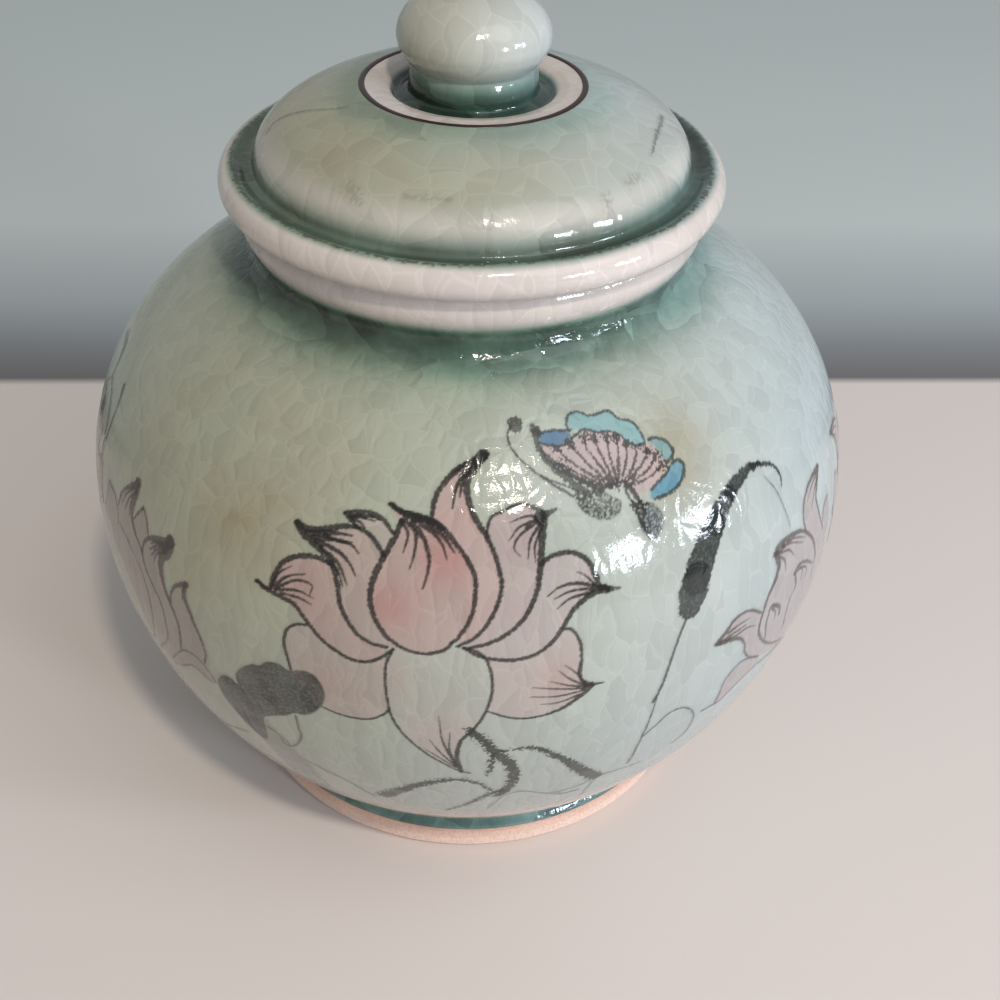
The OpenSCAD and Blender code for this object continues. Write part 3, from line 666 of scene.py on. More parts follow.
LOTUS_FEATHERS = [
    (0.75, 0.52, 0.22, [(-9.5, 99.3), (-8.4, 97.7), (-8.8, 95.3)]),
    (0.75, 0.52, 0.22, [(-8.8, 99.3), (-7.3, 97.8), (-7.3, 95.4), (-7.8, 93.1)]),
    (0.9, 0.63, 0.27, [(-7.9, 99.3), (-6.1, 97.2), (-5.3, 94.8), (-5.4, 92.7), (-5.9, 90.5)]),
    (0.8, 0.56, 0.24, [(-7, 99.4), (-4.6, 97.9), (-3.5, 96.5), (-2.9, 94.8)]),
    (0.9, 0.63, 0.27, [(-5.7, 99.4), (-3.4, 97.7), (-1.9, 95.7)]),
    (0.55, 0.39, 0.17, [(10.2, 99.9), (8, 100.1), (5.7, 99.5)]),
    (0.55, 0.39, 0.17, [(10.1, 99.7), (7.1, 98.9), (5.5, 97.3)]),
    (0.5, 0.35, 0.15, [(10, 99.5), (7.1, 97.9), (6.1, 96.3), (6.9, 95.1)]),
    (0.6, 0.42, 0.18, [(10.1, 99.3), (8.4, 97.1), (7.9, 94.7)]),
    (0.6, 0.42, 0.18, [(10.3, 99), (9, 96.4), (8.9, 94.1)]),
    (0.9, 0.63, 0.27, [(10.5, 99.8), (9, 99.4), (7.8, 98.7)]),
    (0.7, 0.49, 0.21, [(17.1, 89.3), (14.3, 90.4), (11.9, 90.2), (10.2, 89)]),
    (0.6, 0.42, 0.18, [(16.8, 89.1), (13.6, 89.4), (11.1, 88.5)]),
    (0.6, 0.42, 0.18, [(16.2, 88.7), (13.2, 88.2), (11.4, 86.9)]),
    (0.5, 0.35, 0.15, [(16.6, 89.7), (15.5, 91.3), (14.3, 92.1)]),
    (0.5, 0.35, 0.15, [(15.2, 71.3), (13, 73.5), (11.5, 75.6)]),
    (0.5, 0.35, 0.15, [(15.2, 71.1), (12.7, 72.2), (10.5, 73.5)]),
    (0.5, 0.35, 0.15, [(15, 70.8), (11.7, 71.6), (8.2, 72.6)]),
    (0.45, 0.32, 0.14, [(14.9, 70.4), (11.4, 70), (7.9, 70.6)]),
    (0.45, 0.32, 0.14, [(14.4, 69.6), (11.8, 68.5), (9.4, 68.5)]),
    (0.45, 0.32, 0.14, [(15.4, 71.4), (13.7, 74.7), (12.3, 76.5)]),
    (0.5, 0.35, 0.15, [(-1.4, 52.1), (-3.7, 57), (-4.9, 60.2)]),
    (0.5, 0.35, 0.15, [(-1.5, 52.6), (-3.2, 60.2), (-3.6, 66.4)]),
    (0.5, 0.35, 0.15, [(-1.4, 53), (-2.3, 57.6), (-2.2, 62.3)]),
    (0.4, 0.28, 0.12, [(-1.5, 51.8), (-4, 55.4), (-5.7, 57.5)]),
    (0.7, 0.49, 0.21, [(-26.3, 85.8), (-24.3, 88.4), (-21.8, 89.6)]),
    (0.6, 0.42, 0.18, [(-25.9, 85.8), (-23.1, 88.2), (-20.7, 88.2), (-20.8, 86.6)]),
    (0.6, 0.42, 0.18, [(-25.7, 85.7), (-22.7, 86.7), (-20.3, 86.2)]),
    (0.6, 0.42, 0.18, [(-24.9, 85.5), (-22.2, 85.6), (-20.4, 85)]),
    (0.6, 0.42, 0.18, [(-26.3, 86.4), (-25.5, 88.6), (-23.9, 90.2)]),
    (1.1, 0.77, 0.33, [(-22.4, 95.5), (-19, 96.3), (-16.1, 96.5)]),
    (0.9, 0.63, 0.27, [(-21.5, 95.1), (-18.5, 95.5), (-16.1, 95.3), (-14.8, 94.3)]),
    (0.9, 0.63, 0.27, [(-21, 94.7), (-17.9, 94.1), (-16, 92.8), (-14.8, 91)]),
    (0.8, 0.56, 0.24, [(-20.1, 94), (-17.4, 92.3), (-15.9, 89.5)]),
    (0.8, 0.56, 0.24, [(-20.1, 95.8), (-17.7, 95.4), (-15.9, 95.6)]),
    (0.7, 0.49, 0.21, [(-18.5, 92.5), (-17.2, 91), (-16.4, 89)]),
    (0.8, 0.56, 0.24, [(-17.1, 99), (-15, 99), (-13.2, 98.8)]),
    (0.7, 0.49, 0.21, [(-16.6, 98.7), (-15.2, 98.3), (-14.4, 97.7)]),
    (0.7, 0.49, 0.21, [(-16.2, 99.1), (-13.9, 99.3), (-12.5, 99)]),
    (0.8, 0.56, 0.24, [(1.8, 106.8), (-0.1, 106), (-1.5, 104.9)]),
    (1.0, 0.7, 0.3, [(1.6, 106.8), (-0.7, 106.1), (-2.7, 105.1)]),
]
LEFT_FEATHERS = [
    (0.7, 0.49, 0.21, [(-54.3, 87.7), (-55.9, 85.2), (-56.6, 82.6)]),
    (0.7, 0.49, 0.21, [(-54.3, 87.3), (-55.2, 84.7), (-55.1, 82.4)]),
    (0.6, 0.42, 0.18, [(-54.8, 87.9), (-56.9, 85.4), (-58, 82.6)]),
    (0.8, 0.56, 0.24, [(-44.9, 83.1), (-47.1, 82.1), (-48.9, 80.1)]),
    (0.8, 0.56, 0.24, [(-45, 82.6), (-47.1, 81.4), (-48.4, 79.2)]),
    (0.7, 0.49, 0.21, [(-45.1, 82.1), (-47, 80.7), (-47.7, 78.3)]),
    (0.7, 0.49, 0.21, [(-44.8, 83.7), (-46.9, 82.9), (-48.8, 81.4)]),
    (0.5, 0.35, 0.15, [(-40.7, 78.5), (-41.2, 76.7), (-41.4, 75.1)]),
]
RIGHT_FEATHERS = [
    (0.6, 0.42, 0.18, [(47.3, 81.8), (50.4, 81.5), (54.3, 78.8)]),
    (0.6, 0.42, 0.18, [(47.3, 81.5), (50, 80.4), (51.5, 78.2)]),
    (0.5, 0.35, 0.15, [(47.6, 80.8), (48.9, 79), (49.3, 76.4)]),
    (0.6, 0.42, 0.18, [(48.4, 82.1), (51.6, 81.7), (55.2, 79.2)]),
    (0.5, 0.35, 0.15, [(52.6, 73.7), (54.4, 72.8), (54.5, 70.1)]),
    (0.5, 0.35, 0.15, [(52.9, 74.4), (56, 71.7), (56.1, 69.3)]),
    (0.8, 0.56, 0.24, [(35.6, 70.6), (37.9, 70.9), (40.6, 71.1)]),
    (0.7, 0.49, 0.21, [(35.8, 70.2), (38.3, 70), (41, 70.1), (42.8, 69.2)]),
    (0.6, 0.42, 0.18, [(37.1, 71.8), (39.1, 72.2), (41.3, 72.1)]),
    (0.5, 0.35, 0.15, [(61.5, 87.8), (58.8, 87), (56.6, 85.4)]),
    (0.5, 0.35, 0.15, [(61.4, 87.3), (59.3, 85.6), (57.5, 83.1)]),
    (0.5, 0.35, 0.15, [(46.3, 70.4), (47.6, 68.5), (47.7, 66.5)]),
]
BUTTERFLY_RIBS = [
    (0.6, 0.42, 0.18, [(21.6, 102.2), (19.4, 104.3), (17.4, 106.4), (16.5, 107.5)]),
    (0.6, 0.42, 0.18, [(21.8, 102.2), (20.4, 104.7), (19.2, 106.5), (19, 107.8)]),
    (0.6, 0.42, 0.18, [(22, 102.2), (21.5, 104.6), (21, 106.3), (20.9, 107.6)]),
    (0.6, 0.42, 0.18, [(22.3, 102.3), (22.5, 104.4), (22.6, 106), (23, 107.4)]),
    (0.6, 0.42, 0.18, [(22.6, 102.3), (23.5, 104.3), (24.1, 105.5), (24.6, 107.1)]),
    (0.6, 0.42, 0.18, [(23, 102.2), (24.6, 104.1), (25.5, 105.3), (25.9, 106.3)]),
    (0.6, 0.42, 0.18, [(23.4, 102.2), (25.9, 103.8), (27.1, 105), (27.4, 105.5)]),
    (0.6, 0.42, 0.18, [(23.7, 102), (27.2, 103.6), (29.1, 104.9)]),
    (0.6, 0.42, 0.18, [(23.9, 101.8), (27.9, 102.8), (30.2, 104.1)]),
    (0.6, 0.42, 0.18, [(21.3, 102.1), (18.1, 104.2), (15.2, 106.2), (14.3, 107.1)]),
    (0.6, 0.42, 0.18, [(21.1, 102), (17.6, 103.8), (14.2, 105.5)]),
    (0.6, 0.42, 0.18, [(24, 101.6), (27.9, 102), (30.6, 102.8)]),
    (0.6, 0.42, 0.18, [(18.5, 101.7), (20.6, 102.2), (22.2, 102.2)]),
    (0.6, 0.42, 0.18, [(23.6, 101.7), (23.6, 100.5), (24.3, 99.1)]),
    (0.6, 0.42, 0.18, [(24.4, 101.5), (25.1, 100.1), (25.4, 98.8)]),
]
LOTUS_WASH = {
    "heart": [(-11.2, 100.9), (-8, 100.1), (-5.3, 99.7), (-3.4, 98.6), (-1.6, 96.7), (-0.1, 94.7), (0.8,
         92.5), (0.9, 90.2), (0.6, 87.4), (-0.2, 84.9), (-1.3, 82.8), (-2.9, 80.7), (-4.2, 80), (-5.5,
         79.7), (-7.2, 80), (-8.5, 80.6), (-10.2, 82.1), (-11.7, 84.5), (-12.5, 87), (-12.7, 89.4), (-12.4,
         91.4), (-11.6, 93.8), (-10.7, 96), (-9.7, 98.9)],
    "flame": [(2.2, 107.1), (0.5, 106.4), (-1.9, 105.5), (-3.8, 104.1), (-5, 102.2), (-5.3, 99.8), (-3.4,
         98.6), (-1.6, 96.7), (-0.1, 94.7), (0.9, 91), (0.6, 87.4), (-1.3, 82.6), (0.5, 82.6), (2.1, 84.6),
         (3.4, 87.4), (4.2, 90.2), (4.2, 92.4), (3.5, 95.4), (2.4, 97.9), (0.9, 100), (-0.2, 102.5), (-0.4,
         104.2), (0.7, 105.6)],
    "cup": [(2.4, 97.8), (2.6, 99.1), (3.2, 100.3), (4.5, 100.8), (6.2, 101.4), (8.1, 101.5), (9.6, 100.9),
         (10.6, 100.2), (10.1, 97.7), (9.7, 95.3), (9.4, 92.8), (9, 90.6), (8.2, 88.1), (6.8, 85.5), (4.9,
         83.4), (2.6, 81.9), (0.2, 81.3), (2.1, 84.6), (3.4, 87.4), (4.2, 90.2), (4.2, 92.4), (3.5, 95.4)],
    "wave": [(9.6, 93.8), (11.1, 94.7), (13.3, 95), (15.1, 94.3), (16.2, 93.1), (16.8, 91.3), (17.2, 89.6),
         (18.2, 88.8), (16.4, 88.5), (14.9, 87.6), (13.4, 86.2), (12.3, 84.2), (10.9, 81.7), (8.9, 79.6),
         (6.2, 78.6), (3.9, 78.8), (1.6, 79.5), (-0.5, 81.1), (2.6, 81.9), (4.9, 83.4), (6.8, 85.5), (8.2,
         88.1), (9, 90.6), (9.4, 92.8)],
    "wing": [(12.1, 83.5), (13.3, 82.9), (14.3, 80.5), (14.5, 77.5), (14.3, 74.3), (15.5, 71.5), (14.4, 69),
         (12.2, 67), (9.9, 65.9), (7.1, 65.6), (4.8, 66.4), (2.6, 67.8), (3.1, 72.3), (3.1, 75.6), (2.5,
         78.3), (1.3, 80), (3.9, 78.8), (6.2, 78.6), (8.9, 79.6), (10.9, 81.7)],
    "drop": [(-9.4, 79.9), (-10.2, 77.2), (-10.4, 73.9), (-10.2, 69.9), (-9.8, 65.9), (-8.7, 62.1), (-7.1,
         58.8), (-5.1, 55.6), (-3, 52.9), (-0.9, 50.8), (-1.3, 54.4), (-1.2, 57.7), (-0.7, 60.4), (0.8,
         63.3), (2.1, 66.9), (2.9, 70.5), (3.1, 74.5), (2.5, 78.3), (1.3, 80.3), (-0.5, 81.1), (-2, 81.7),
         (-2.9, 80.7), (-4.2, 80), (-5.5, 79.7), (-7.2, 80), (-8.5, 80.5)],
    "left_wing": [(-23.2, 71.2), (-23.8, 74.6), (-24.1, 77.2), (-23.6, 79.5), (-22.3, 80.9), (-20.7, 81.4),
         (-18.8, 79.3), (-17, 77.9), (-14.9, 76.8), (-12.9, 76.8), (-11, 78), (-9.5, 79.7), (-10.2, 77.2),
         (-10.4, 73.9), (-10.2, 69.9), (-10, 67), (-12.5, 63.9), (-14.6, 63.4), (-16.7, 63.5), (-19.1,
         64.3), (-21.3, 68.2)],
    "left_wave": [(-27.9, 85.7), (-26.7, 85.7), (-26.3, 87.6), (-25.5, 89.9), (-24, 91.5), (-22.1, 92.3),
         (-20.2, 92.5), (-18.3, 91.9), (-17.5, 90.4), (-17.1, 88.9), (-16.5, 86.1), (-15.4, 83.7), (-14,
         81.7), (-12.2, 80.5), (-10.2, 80.2), (-11, 78), (-12.9, 76.8), (-14.9, 76.8), (-17, 77.9), (-18.8,
         79.3), (-20.3, 81.2), (-21.5, 82.7), (-22.9, 84.3), (-24.5, 84.8), (-26.7, 85.2)],
    "left_cup": [(-23.8, 96.3), (-22.5, 96), (-20.6, 96.4), (-18.1, 97.3), (-15.9, 97.7), (-13.9, 97.1),
         (-12.6, 96.1), (-11.4, 94.5), (-12.4, 91.4), (-12.7, 89.4), (-12.5, 87), (-11.7, 84.5), (-10.2,
         82.1), (-8.9, 80.5), (-10.2, 80.2), (-12.2, 80.5), (-14, 81.7), (-15.4, 83.7), (-16.5, 86.1),
         (-17.1, 88.9), (-17.8, 91.1), (-19, 92.8), (-20.9, 94.1), (-22.9, 95.1)],
    "behind": [(-17.5, 99.1), (-15.9, 99.6), (-13.8, 99.7), (-11.9, 99), (-10.4, 97.6), (-10.7, 96), (-11.3,
         94.5), (-12.6, 96.1), (-13.9, 97.1), (-15.3, 97.5), (-16.6, 98.4)],
}
BUTTERFLY_WASH = {
    "blue": [(11.8, 108.8), (13.7, 109), (16.6, 108.7), (17, 108), (15.7, 107.6), (13.6, 107.5), (11.7,
         107.9)],
    "teal": [(16.7, 108.8), (16.9, 109.6), (17.5, 110.2), (19.4, 110.4), (21.4, 109.8), (24.7, 109.9),
         (26.3, 108.9), (28.3, 108.3), (29.1, 107.2), (29.4, 105.8), (27.6, 105.7), (26.2, 106.5), (25.4,
         107.3), (23.8, 107.9), (21.6, 108.1), (19.7, 108.6)],
    "teal_right": [(30, 105.9), (31.1, 106), (32.2, 105.6), (33.2, 104.9), (33.4, 104.1), (32.7, 103.2),
         (31.1, 103.3), (31, 104.5)],
    "blue_right": [(32.3, 102.6), (33.6, 102.7), (34.2, 102), (33.5, 100.8), (32, 99.8), (29.9, 99.3),
         (27.2, 99.3), (27.4, 100.4), (29, 101.1), (30.7, 101.7)],
    "pink": [(11.6, 107.7), (13.6, 107.4), (16.5, 107.5), (19.6, 108.5), (21.6, 108), (23.7, 107.8), (25.3,
         107.2), (27.3, 105.7), (29.6, 105.6), (30.9, 104.4), (31.2, 102.8), (29.1, 101.2), (26.9, 100.6),
         (24.8, 100.5), (23.6, 101.7), (21.3, 102.1), (18.8, 102.7), (16.4, 103.9), (13.8, 105.5), (12.1,
         106.7)],
    "olive": [(15.6, 102.1), (17.2, 102.4), (19.7, 101.9), (21.2, 100.9), (22.3, 100.1), (21.7, 98.8),
         (20.2, 98.2), (18.4, 98.5), (16.8, 99.4), (15.8, 100.6)],
    "dark_tail": [(24.7, 99), (26.7, 99.1), (27.9, 97.8), (28.2, 96.1), (26.9, 94.4), (25.7, 94.1), (24.8,
         95), (24.2, 96.8)],
}
LEAF_WASH = {
    "dark": [(-36.5, 59.6), (-34.9, 62.3), (-33.4, 62.6), (-32.5, 61.9), (-32.5, 64.2), (-31.3, 66.8),
         (-29.5, 68.9), (-28.1, 69.5), (-26.8, 71.1), (-25, 71.6), (-23.5, 70.9), (-21.7, 71.8), (-20,
         71.6), (-18.9, 69.7), (-18.6, 66.8), (-19.7, 63.4), (-21.7, 60.8), (-23.6, 60.1), (-25, 58.5),
         (-27.3, 56.8), (-29.2, 54.6), (-29.7, 49.9), (-30.7, 46), (-32.5, 47.2), (-34.1, 50.1), (-35.9,
         54.1), (-36.6, 57.3)],
    "tail": [(-34.1, 50.1), (-29.4, 54.3), (-28.1, 52.1), (-26.3, 48.4), (-24.3, 42.1), (-23.8, 34.9),
         (-24.5, 28.3), (-27.9, 27.6), (-30.1, 35.1), (-30.6, 42.2), (-31.9, 45.9)],
}
LEFT_WASH = {
    "all": [(-63.6, 82.8), (-60.9, 82.4), (-59, 81.5), (-58.3, 84.7), (-56.3, 87.2), (-54.5, 88.9), (-54.3,
         86.8), (-53.8, 82.6), (-52.7, 84.7), (-51.7, 86.2), (-49.8, 83.3), (-50, 81.2), (-48.2, 82.8),
         (-44.4, 84.4), (-44.8, 82.4), (-46, 80.2), (-46, 78), (-45.2, 74.8), (-44.1, 73.1), (-43.8, 74.6),
         (-42.8, 76.9), (-40.5, 78.9), (-40.9, 76.3), (-40, 73.6), (-39, 71), (-38.1, 68.1), (-37.7, 65.3),
         (-37.9, 60.5), (-37.1, 58.2), (-39.6, 57.4), (-41.8, 58.2), (-45.2, 55.2), (-48.8, 52.8), (-49.9,
         55), (-51.7, 56), (-53.3, 58.6), (-54.3, 63), (-56, 67.1), (-58.2, 69.3), (-60.3, 71.6), (-62.1,
         74.1), (-63.9, 76), (-64.6, 78.2)],
}
RIGHT_WASH = {
    "petals": [(62.4, 88.4), (59.4, 88.2), (56.9, 87.3), (55.2, 85.3), (54.8, 82.4), (54.4, 81.1), (52.1,
         82.4), (49.5, 82.9), (47.6, 82.7), (46.7, 81.9), (47.4, 79), (46.6, 76.7), (45.2, 74.3), (44.3,
         71.3), (43, 72.3), (41.7, 73.6), (39.7, 74.4), (37.9, 73.9), (36.6, 72.3), (35.1, 70.8), (37.6,
         69.7), (39.7, 68.5), (41, 66.2), (41.5, 63.8), (43, 61.1), (46.2, 58.2), (50.8, 55.4), (54.7,
         54.4), (56.5, 56.2), (58.9, 57.4), (60.9, 59.7), (62.8, 62.7), (64.5, 65.9), (64.5, 70.5), (62,
         75.3), (60.4, 79.8), (59.6, 83.7), (60.7, 86.2)],
    "leaf": [(46.3, 57.9), (42.1, 61.1), (39.8, 60.2), (38.6, 57.5), (38.7, 53.4), (38.5, 51.4), (39.9,
         51.2), (42.2, 53.2), (45.9, 55)],
    "b": [(64.2, 81), (62.4, 79.9), (61.6, 77.3), (62.9, 73.4), (65, 72.6), (65, 77)],
}

# %% [markdown]
# The open lotus has ten petals. Each gets a thin wash with a blush of rose where the brush was loaded,
# then the dark tips, as a fan of short strokes, and last the outlines.

# %% Paint the lotus at the front
ROSE, INK, SOFT_INK = "a6807b", "1e1b17", "38332e"
PETALS = {
    "behind": ("a8968f", 0.6, ()),
    "flame": ("ab908b", 0.8, ((-1, 100, 5, 0.3, ROSE),)),
    "cup": ("a6918f", 0.75, ((7, 97, 5, 0.3, "97827f"),)),
    "wave": ("a69592", 0.72, ()),
    "wing": ("a99892", 0.7, ((12, 74, 5, 0.3, ROSE),)),
    "drop": ("a7a19a", 0.4, ((-3, 60, 7, 0.45, "ab908c"), (-10, 75, 4, 0.3, ROSE))),
    "left_wing": ("a3948c", 0.75, ((-18, 70, 5, 0.25, ROSE),)),
    "left_wave": ("a48b85", 0.8, ((-22, 88, 5, 0.3, ROSE),)),
    "left_cup": ("a38f88", 0.75, ((-15, 92, 5, 0.2, ROSE),)),
    "heart": ("a78d87", 0.85, ((-2.5, 95, 5.5, 0.4, "a5605c"), (-10.5, 87, 4.5, 0.35, "a5605c"),
                               (-4, 84, 5, 0.35, "a2958d"))),
}


def shifted(points, move):
    """Points after a move, which is a function of (angle, height)."""
    return [move(a, z) for a, z in points]


def paint_lotus(film, move):
    """All the washes of the open lotus, then its feathered tips and outlines."""
    for petal, (colour, share, blush) in PETALS.items():
        spots = [(*move(a, z), reach, more, tint) for a, z, reach, more, tint in blush]
        wash(film, shifted(LOTUS_WASH[petal], move), colour, share, spots)
    for row in LOTUS_FEATHERS + LOTUS:
        stroke(film, (*row[:3], shifted(row[3], move)), INK)


# %% [markdown]
# The leaf and the grass lie over the lotus, so they share its film. It is made in two bands, which meet
# at the same places, to keep each piece small. The back of the jar can't be seen in the picture that this
# jar follows. It gets the same motif, mirrored, as a decorator who works round a jar repeats one.

# %% Paint the leaf and the grass over it


def paint_grass(film, move):
    """The dark leaf with its stalk, the thin blades, and the grass with its broken, bristly edges."""
    wash(film, shifted(LEAF_WASH["tail"], move), "5f5b57", 0.5)
    wash(film, shifted(LEAF_WASH["dark"], move), "272824", 0.96, dry=0.12)
    for row in LEAF + SPRIGS[5:]:
        stroke(film, (*row[:3], shifted(row[3], move)), SOFT_INK, 0.75)
    for row in SPRIGS[:5]:
        stroke(film, (*row[:3], shifted(row[3], move)), "20251d", 0.95, grain=1.8)


def stays(angle, height):
    """The move that changes nothing."""
    return angle, height


def to_back(angle, height):
    """A point mirrored to the back of the jar."""
    return 180 - angle, height


for side, angles, move in (("front", (-44, 30), stays), ("back", (150, 224), to_back)):
    for motif, heights in (("lotus", (56, 108.5)), ("water_grass", (26, 56))):
        film = new_film(angles, heights, 0.22)
        paint_lotus(film, move)
        paint_grass(film, move)
        finish_film(f"{side}_{motif}_painting", film)

# %% [markdown]
# The butterfly's wings are flat touches of blue and rose. The ribs fan out from the body, and a dry brush
# leaves the body and the ends of the ribs broken and dark.

# %% Paint the butterfly


def paint_butterfly(film, move):
    """Wing washes, ribs that fan out from the body, scalloped edges and feelers."""
    shades = {"pink": ("a58d8b", 0.8, 0), "teal": ("6d9597", 0.85, 0), "blue": ("36607f", 0.9, 0),
              "teal_right": ("5c8789", 0.85, 0), "blue_right": ("4d8093", 0.9, 0),
              "olive": ("25271b", 0.95, 0.5), "dark_tail": ("27313b", 0.9, 0.4)}
    for part, (colour, share, dry) in shades.items():
        wash(film, shifted(BUTTERFLY_WASH[part], move), colour, share, dry=dry)
    for row in BUTTERFLY_RIBS:
        line = shifted(row[3], move)
        stroke(film, (*row[:3], line), "2b241d", 0.9, grain=1.2)
        halfway = [(a + b) / 2 for a, b in zip(line[-1], line[-2])]
        stroke(film, (1.4, 0.9, 0.4, [line[-1], halfway]), "221d18", 0.9, grain=2.0)
    for row in BUTTERFLY:
        stroke(film, (*row[:3], shifted(row[3], move)), "2c2a24", 0.9, grain=0.8)


def to_right_back(angle, height):
    """A point mirrored to the right of the back, and a little lower."""
    return 158 - angle, height - 4


for side, angles, heights, move in (("front", (4, 36), (92, 111.5), stays),
                                    ("back", (120, 155), (87, 108), to_right_back)):
    wings = new_film(angles, heights, 0.2)
    paint_butterfly(wings, move)
    finish_film(f"{side}_butterfly_painting", wings)

# %% [markdown]
# The cattail is two loads of black on one stem: a full brush pressed down for the head, lifted as it turns
# over at the tip.

# %% Paint the cattail
reeds = new_film((22, 71), (40, 103), 0.25)
for row in CATTAIL[5:9]:
    stroke(reeds, row, "2f3632", 0.9)
for row in CATTAIL[:5]:
    stroke(reeds, (*[0.88 * w for w in row[:3]], row[3]), "1a201c", 0.96, grain=0.8)
finish_film("cattail_painting", reeds)

# %% [markdown]
# A lotus in profile stands at either side. The picture shows the near half of each. The far half is the
# same, mirrored about the flower's middle.

# %% Paint the flowers at the sides


def paint_side(film, strokes, feathers, washes, mirror, colour):
    """A lotus seen from the side: the half that is drawn, and the same half mirrored about its middle."""
    for outline in washes.values():
        both = turned_by([(0, 0, 0, outline)], mirror)[0][-1]
        for points in (outline, both):
            wash(film, points, colour, 0.72)
    for row in feathers + strokes + turned_by(feathers + strokes, mirror):
        stroke(film, row, SOFT_INK, 0.85)


right = new_film((33, 101), (49, 90), 0.26)
paint_side(right, RIGHT_LOTUS, RIGHT_FEATHERS, RIGHT_WASH, 67, "9a8b8a")
finish_film("right_lotus_painting", right)
# The left flower's wash is darker than the right's: painted shade, for the jar's shaded left side.
left = new_film((-97, -35), (50, 99), 0.26)
paint_side(left, LEFT_LOTUS, LEFT_FEATHERS, LEFT_WASH, -66, "8b7b76")
for row in LEFT_BUTTERFLY:
    stroke(left, row, "2c2a24", 0.85)
finish_film("left_lotus_painting", left)

# %% [markdown]
# On the lid a thin brown line, broken in places, marks where the white rim begins, and a few grey strokes
# and smudges lie on the dome. The second number of a point is the distance along the lid's outline in mm.

# %% Paint the lid
LID_STROKES = [
    (0.35, 0.4, 0.2, [(-80, 20.7), (-83, 23), (-78, 28.4), (-64.5, 35.1)]),
    (0.8, 0.7, 0.3, [(87.5, 24.6), (73, 24.9), (61, 23.4)]),
]
LID_SMUDGES = [
    (1.2, 1.6, 1.0, [(36, 20.5), (35.5, 19.2)]),
    (1.6, 1.3, 0.8, [(-34, 22), (-29, 20.2)]),
    (0.6, 0.9, 0.5, [(-18, 22.8), (-6, 22.9)]),
    (1.0, 1.0, 0.6, [(45.5, 21.3), (51, 21.6)]),
]
dome = new_film((-180, 180), (8.4, 36), 0.3, lid, lid["s"], radius=43)
turn = np.arange(-180, 181, 6)
rim_edge = 10.1 + 0.22 * np.sin(np.radians(5 * turn)) + 0.12 * np.sin(np.radians(13 * turn))
around = np.c_[turn, rim_edge]
stroke(dome, (0.55, 0.5, 0.55, around), "33271d", 0.8, grain=2.4)
for row in LID_STROKES:
    stroke(dome, row, "4c4c46", 0.7, grain=1.0)
for row in LID_SMUDGES:
    stroke(dome, row, "7d776b", 0.45, grain=2.5)
finish_film("lid_painting", dome, "lid", lid_coat_layer, broad_cells)

# %% [markdown]
# ## Materials
# One small function adds a node with its settings and links. Colours are sRGB hex values.

# %% Nodes


def node(tree, kind, inputs=None, **settings):
    """Adds a node, sets its properties, and fills its inputs with values or the sockets that feed them."""
    made = tree.nodes.new("ShaderNode" + kind)
    for name, value in settings.items():
        setattr(made, name, value)
    for name, value in (inputs or {}).items():
        if isinstance(value, bpy.types.NodeSocket):
            tree.links.new(value, made.inputs[name])
        else:
            made.inputs[name].default_value = value
    return made


def rgba(colour):
    """A hex colour as four linear numbers."""
    return (*linear(colour), 1.0)


def material(name, roughness, colour="808080", ior=1.5):
    """A material with a Principled shader, and its tree and shader."""
    made = bpy.data.materials.new(name)
    made.use_nodes = True
    shader = made.node_tree.nodes["Principled BSDF"]
    shader.inputs["Roughness"].default_value = roughness
    shader.inputs["IOR"].default_value = ior
    shader.inputs["Base Color"].default_value = rgba(colour)
    return made, made.node_tree, shader

# %% [markdown]
# ### Celadon glaze
# A feldspar and wood-ash glaze with a trace of iron, fired short of air, which makes it green. It is a
# glass, so its index is about 1.5 and it is glossy. As it cools it shrinks more than the clay and
# crackles: cells about 3 mm wide and two to three times as tall, because the coat is stretched round the
# pot, and broad sharp-edged flakes 7 mm wide where it is thick. A fine orange peel of 0.6 mm breaks up
# the lamps' reflections into grains.

# %% Celadon glaze
celadon, tree, glass = material("celadon glaze", 0.11)
place = node(tree, "Attribute", attribute_name="glaze_mm").outputs["Vector"]
shares = node(tree, "Attribute", attribute_name="coat")
pool_drain = node(tree, "SeparateColor", {"Color": shares.outputs["Color"]})
paint = node(tree, "Attribute", attribute_name="paint")
cloud = node(tree, "TexNoise", {"Vector": place, "Scale": 0.06, "Detail": 4.0, "Roughness": 0.6})
bend = node(tree, "TexNoise", {"Vector": place, "Scale": 0.13, "Detail": 2.0})
shift = node(tree, "VectorMath", {0: bend.outputs["Color"], 1: (0.5, 0.5, 0.5)}, operation="SUBTRACT")
moved = node(tree, "VectorMath", {0: shift.outputs[0], 1: (3.4, 3.4, 3.4), 2: place},
             operation="MULTIPLY_ADD")
tall = node(tree, "VectorMath", {0: moved.outputs[0], 1: (0.4, 0.4, 0.1)}, operation="MULTIPLY")
cells = node(tree, "TexVoronoi", {"Vector": tall.outputs[0], "Scale": 1.0})
cracks = node(tree, "TexVoronoi", {"Vector": tall.outputs[0], "Scale": 1.0}, feature="DISTANCE_TO_EDGE")
broad = node(tree, "VectorMath", {0: moved.outputs[0], 1: (0.13, 0.13, 0.2)}, operation="MULTIPLY")
flakes = node(tree, "TexVoronoi", {"Vector": broad.outputs[0], "Scale": 1.0})
splits = node(tree, "TexVoronoi", {"Vector": broad.outputs[0], "Scale": 1.0}, feature="DISTANCE_TO_EDGE")
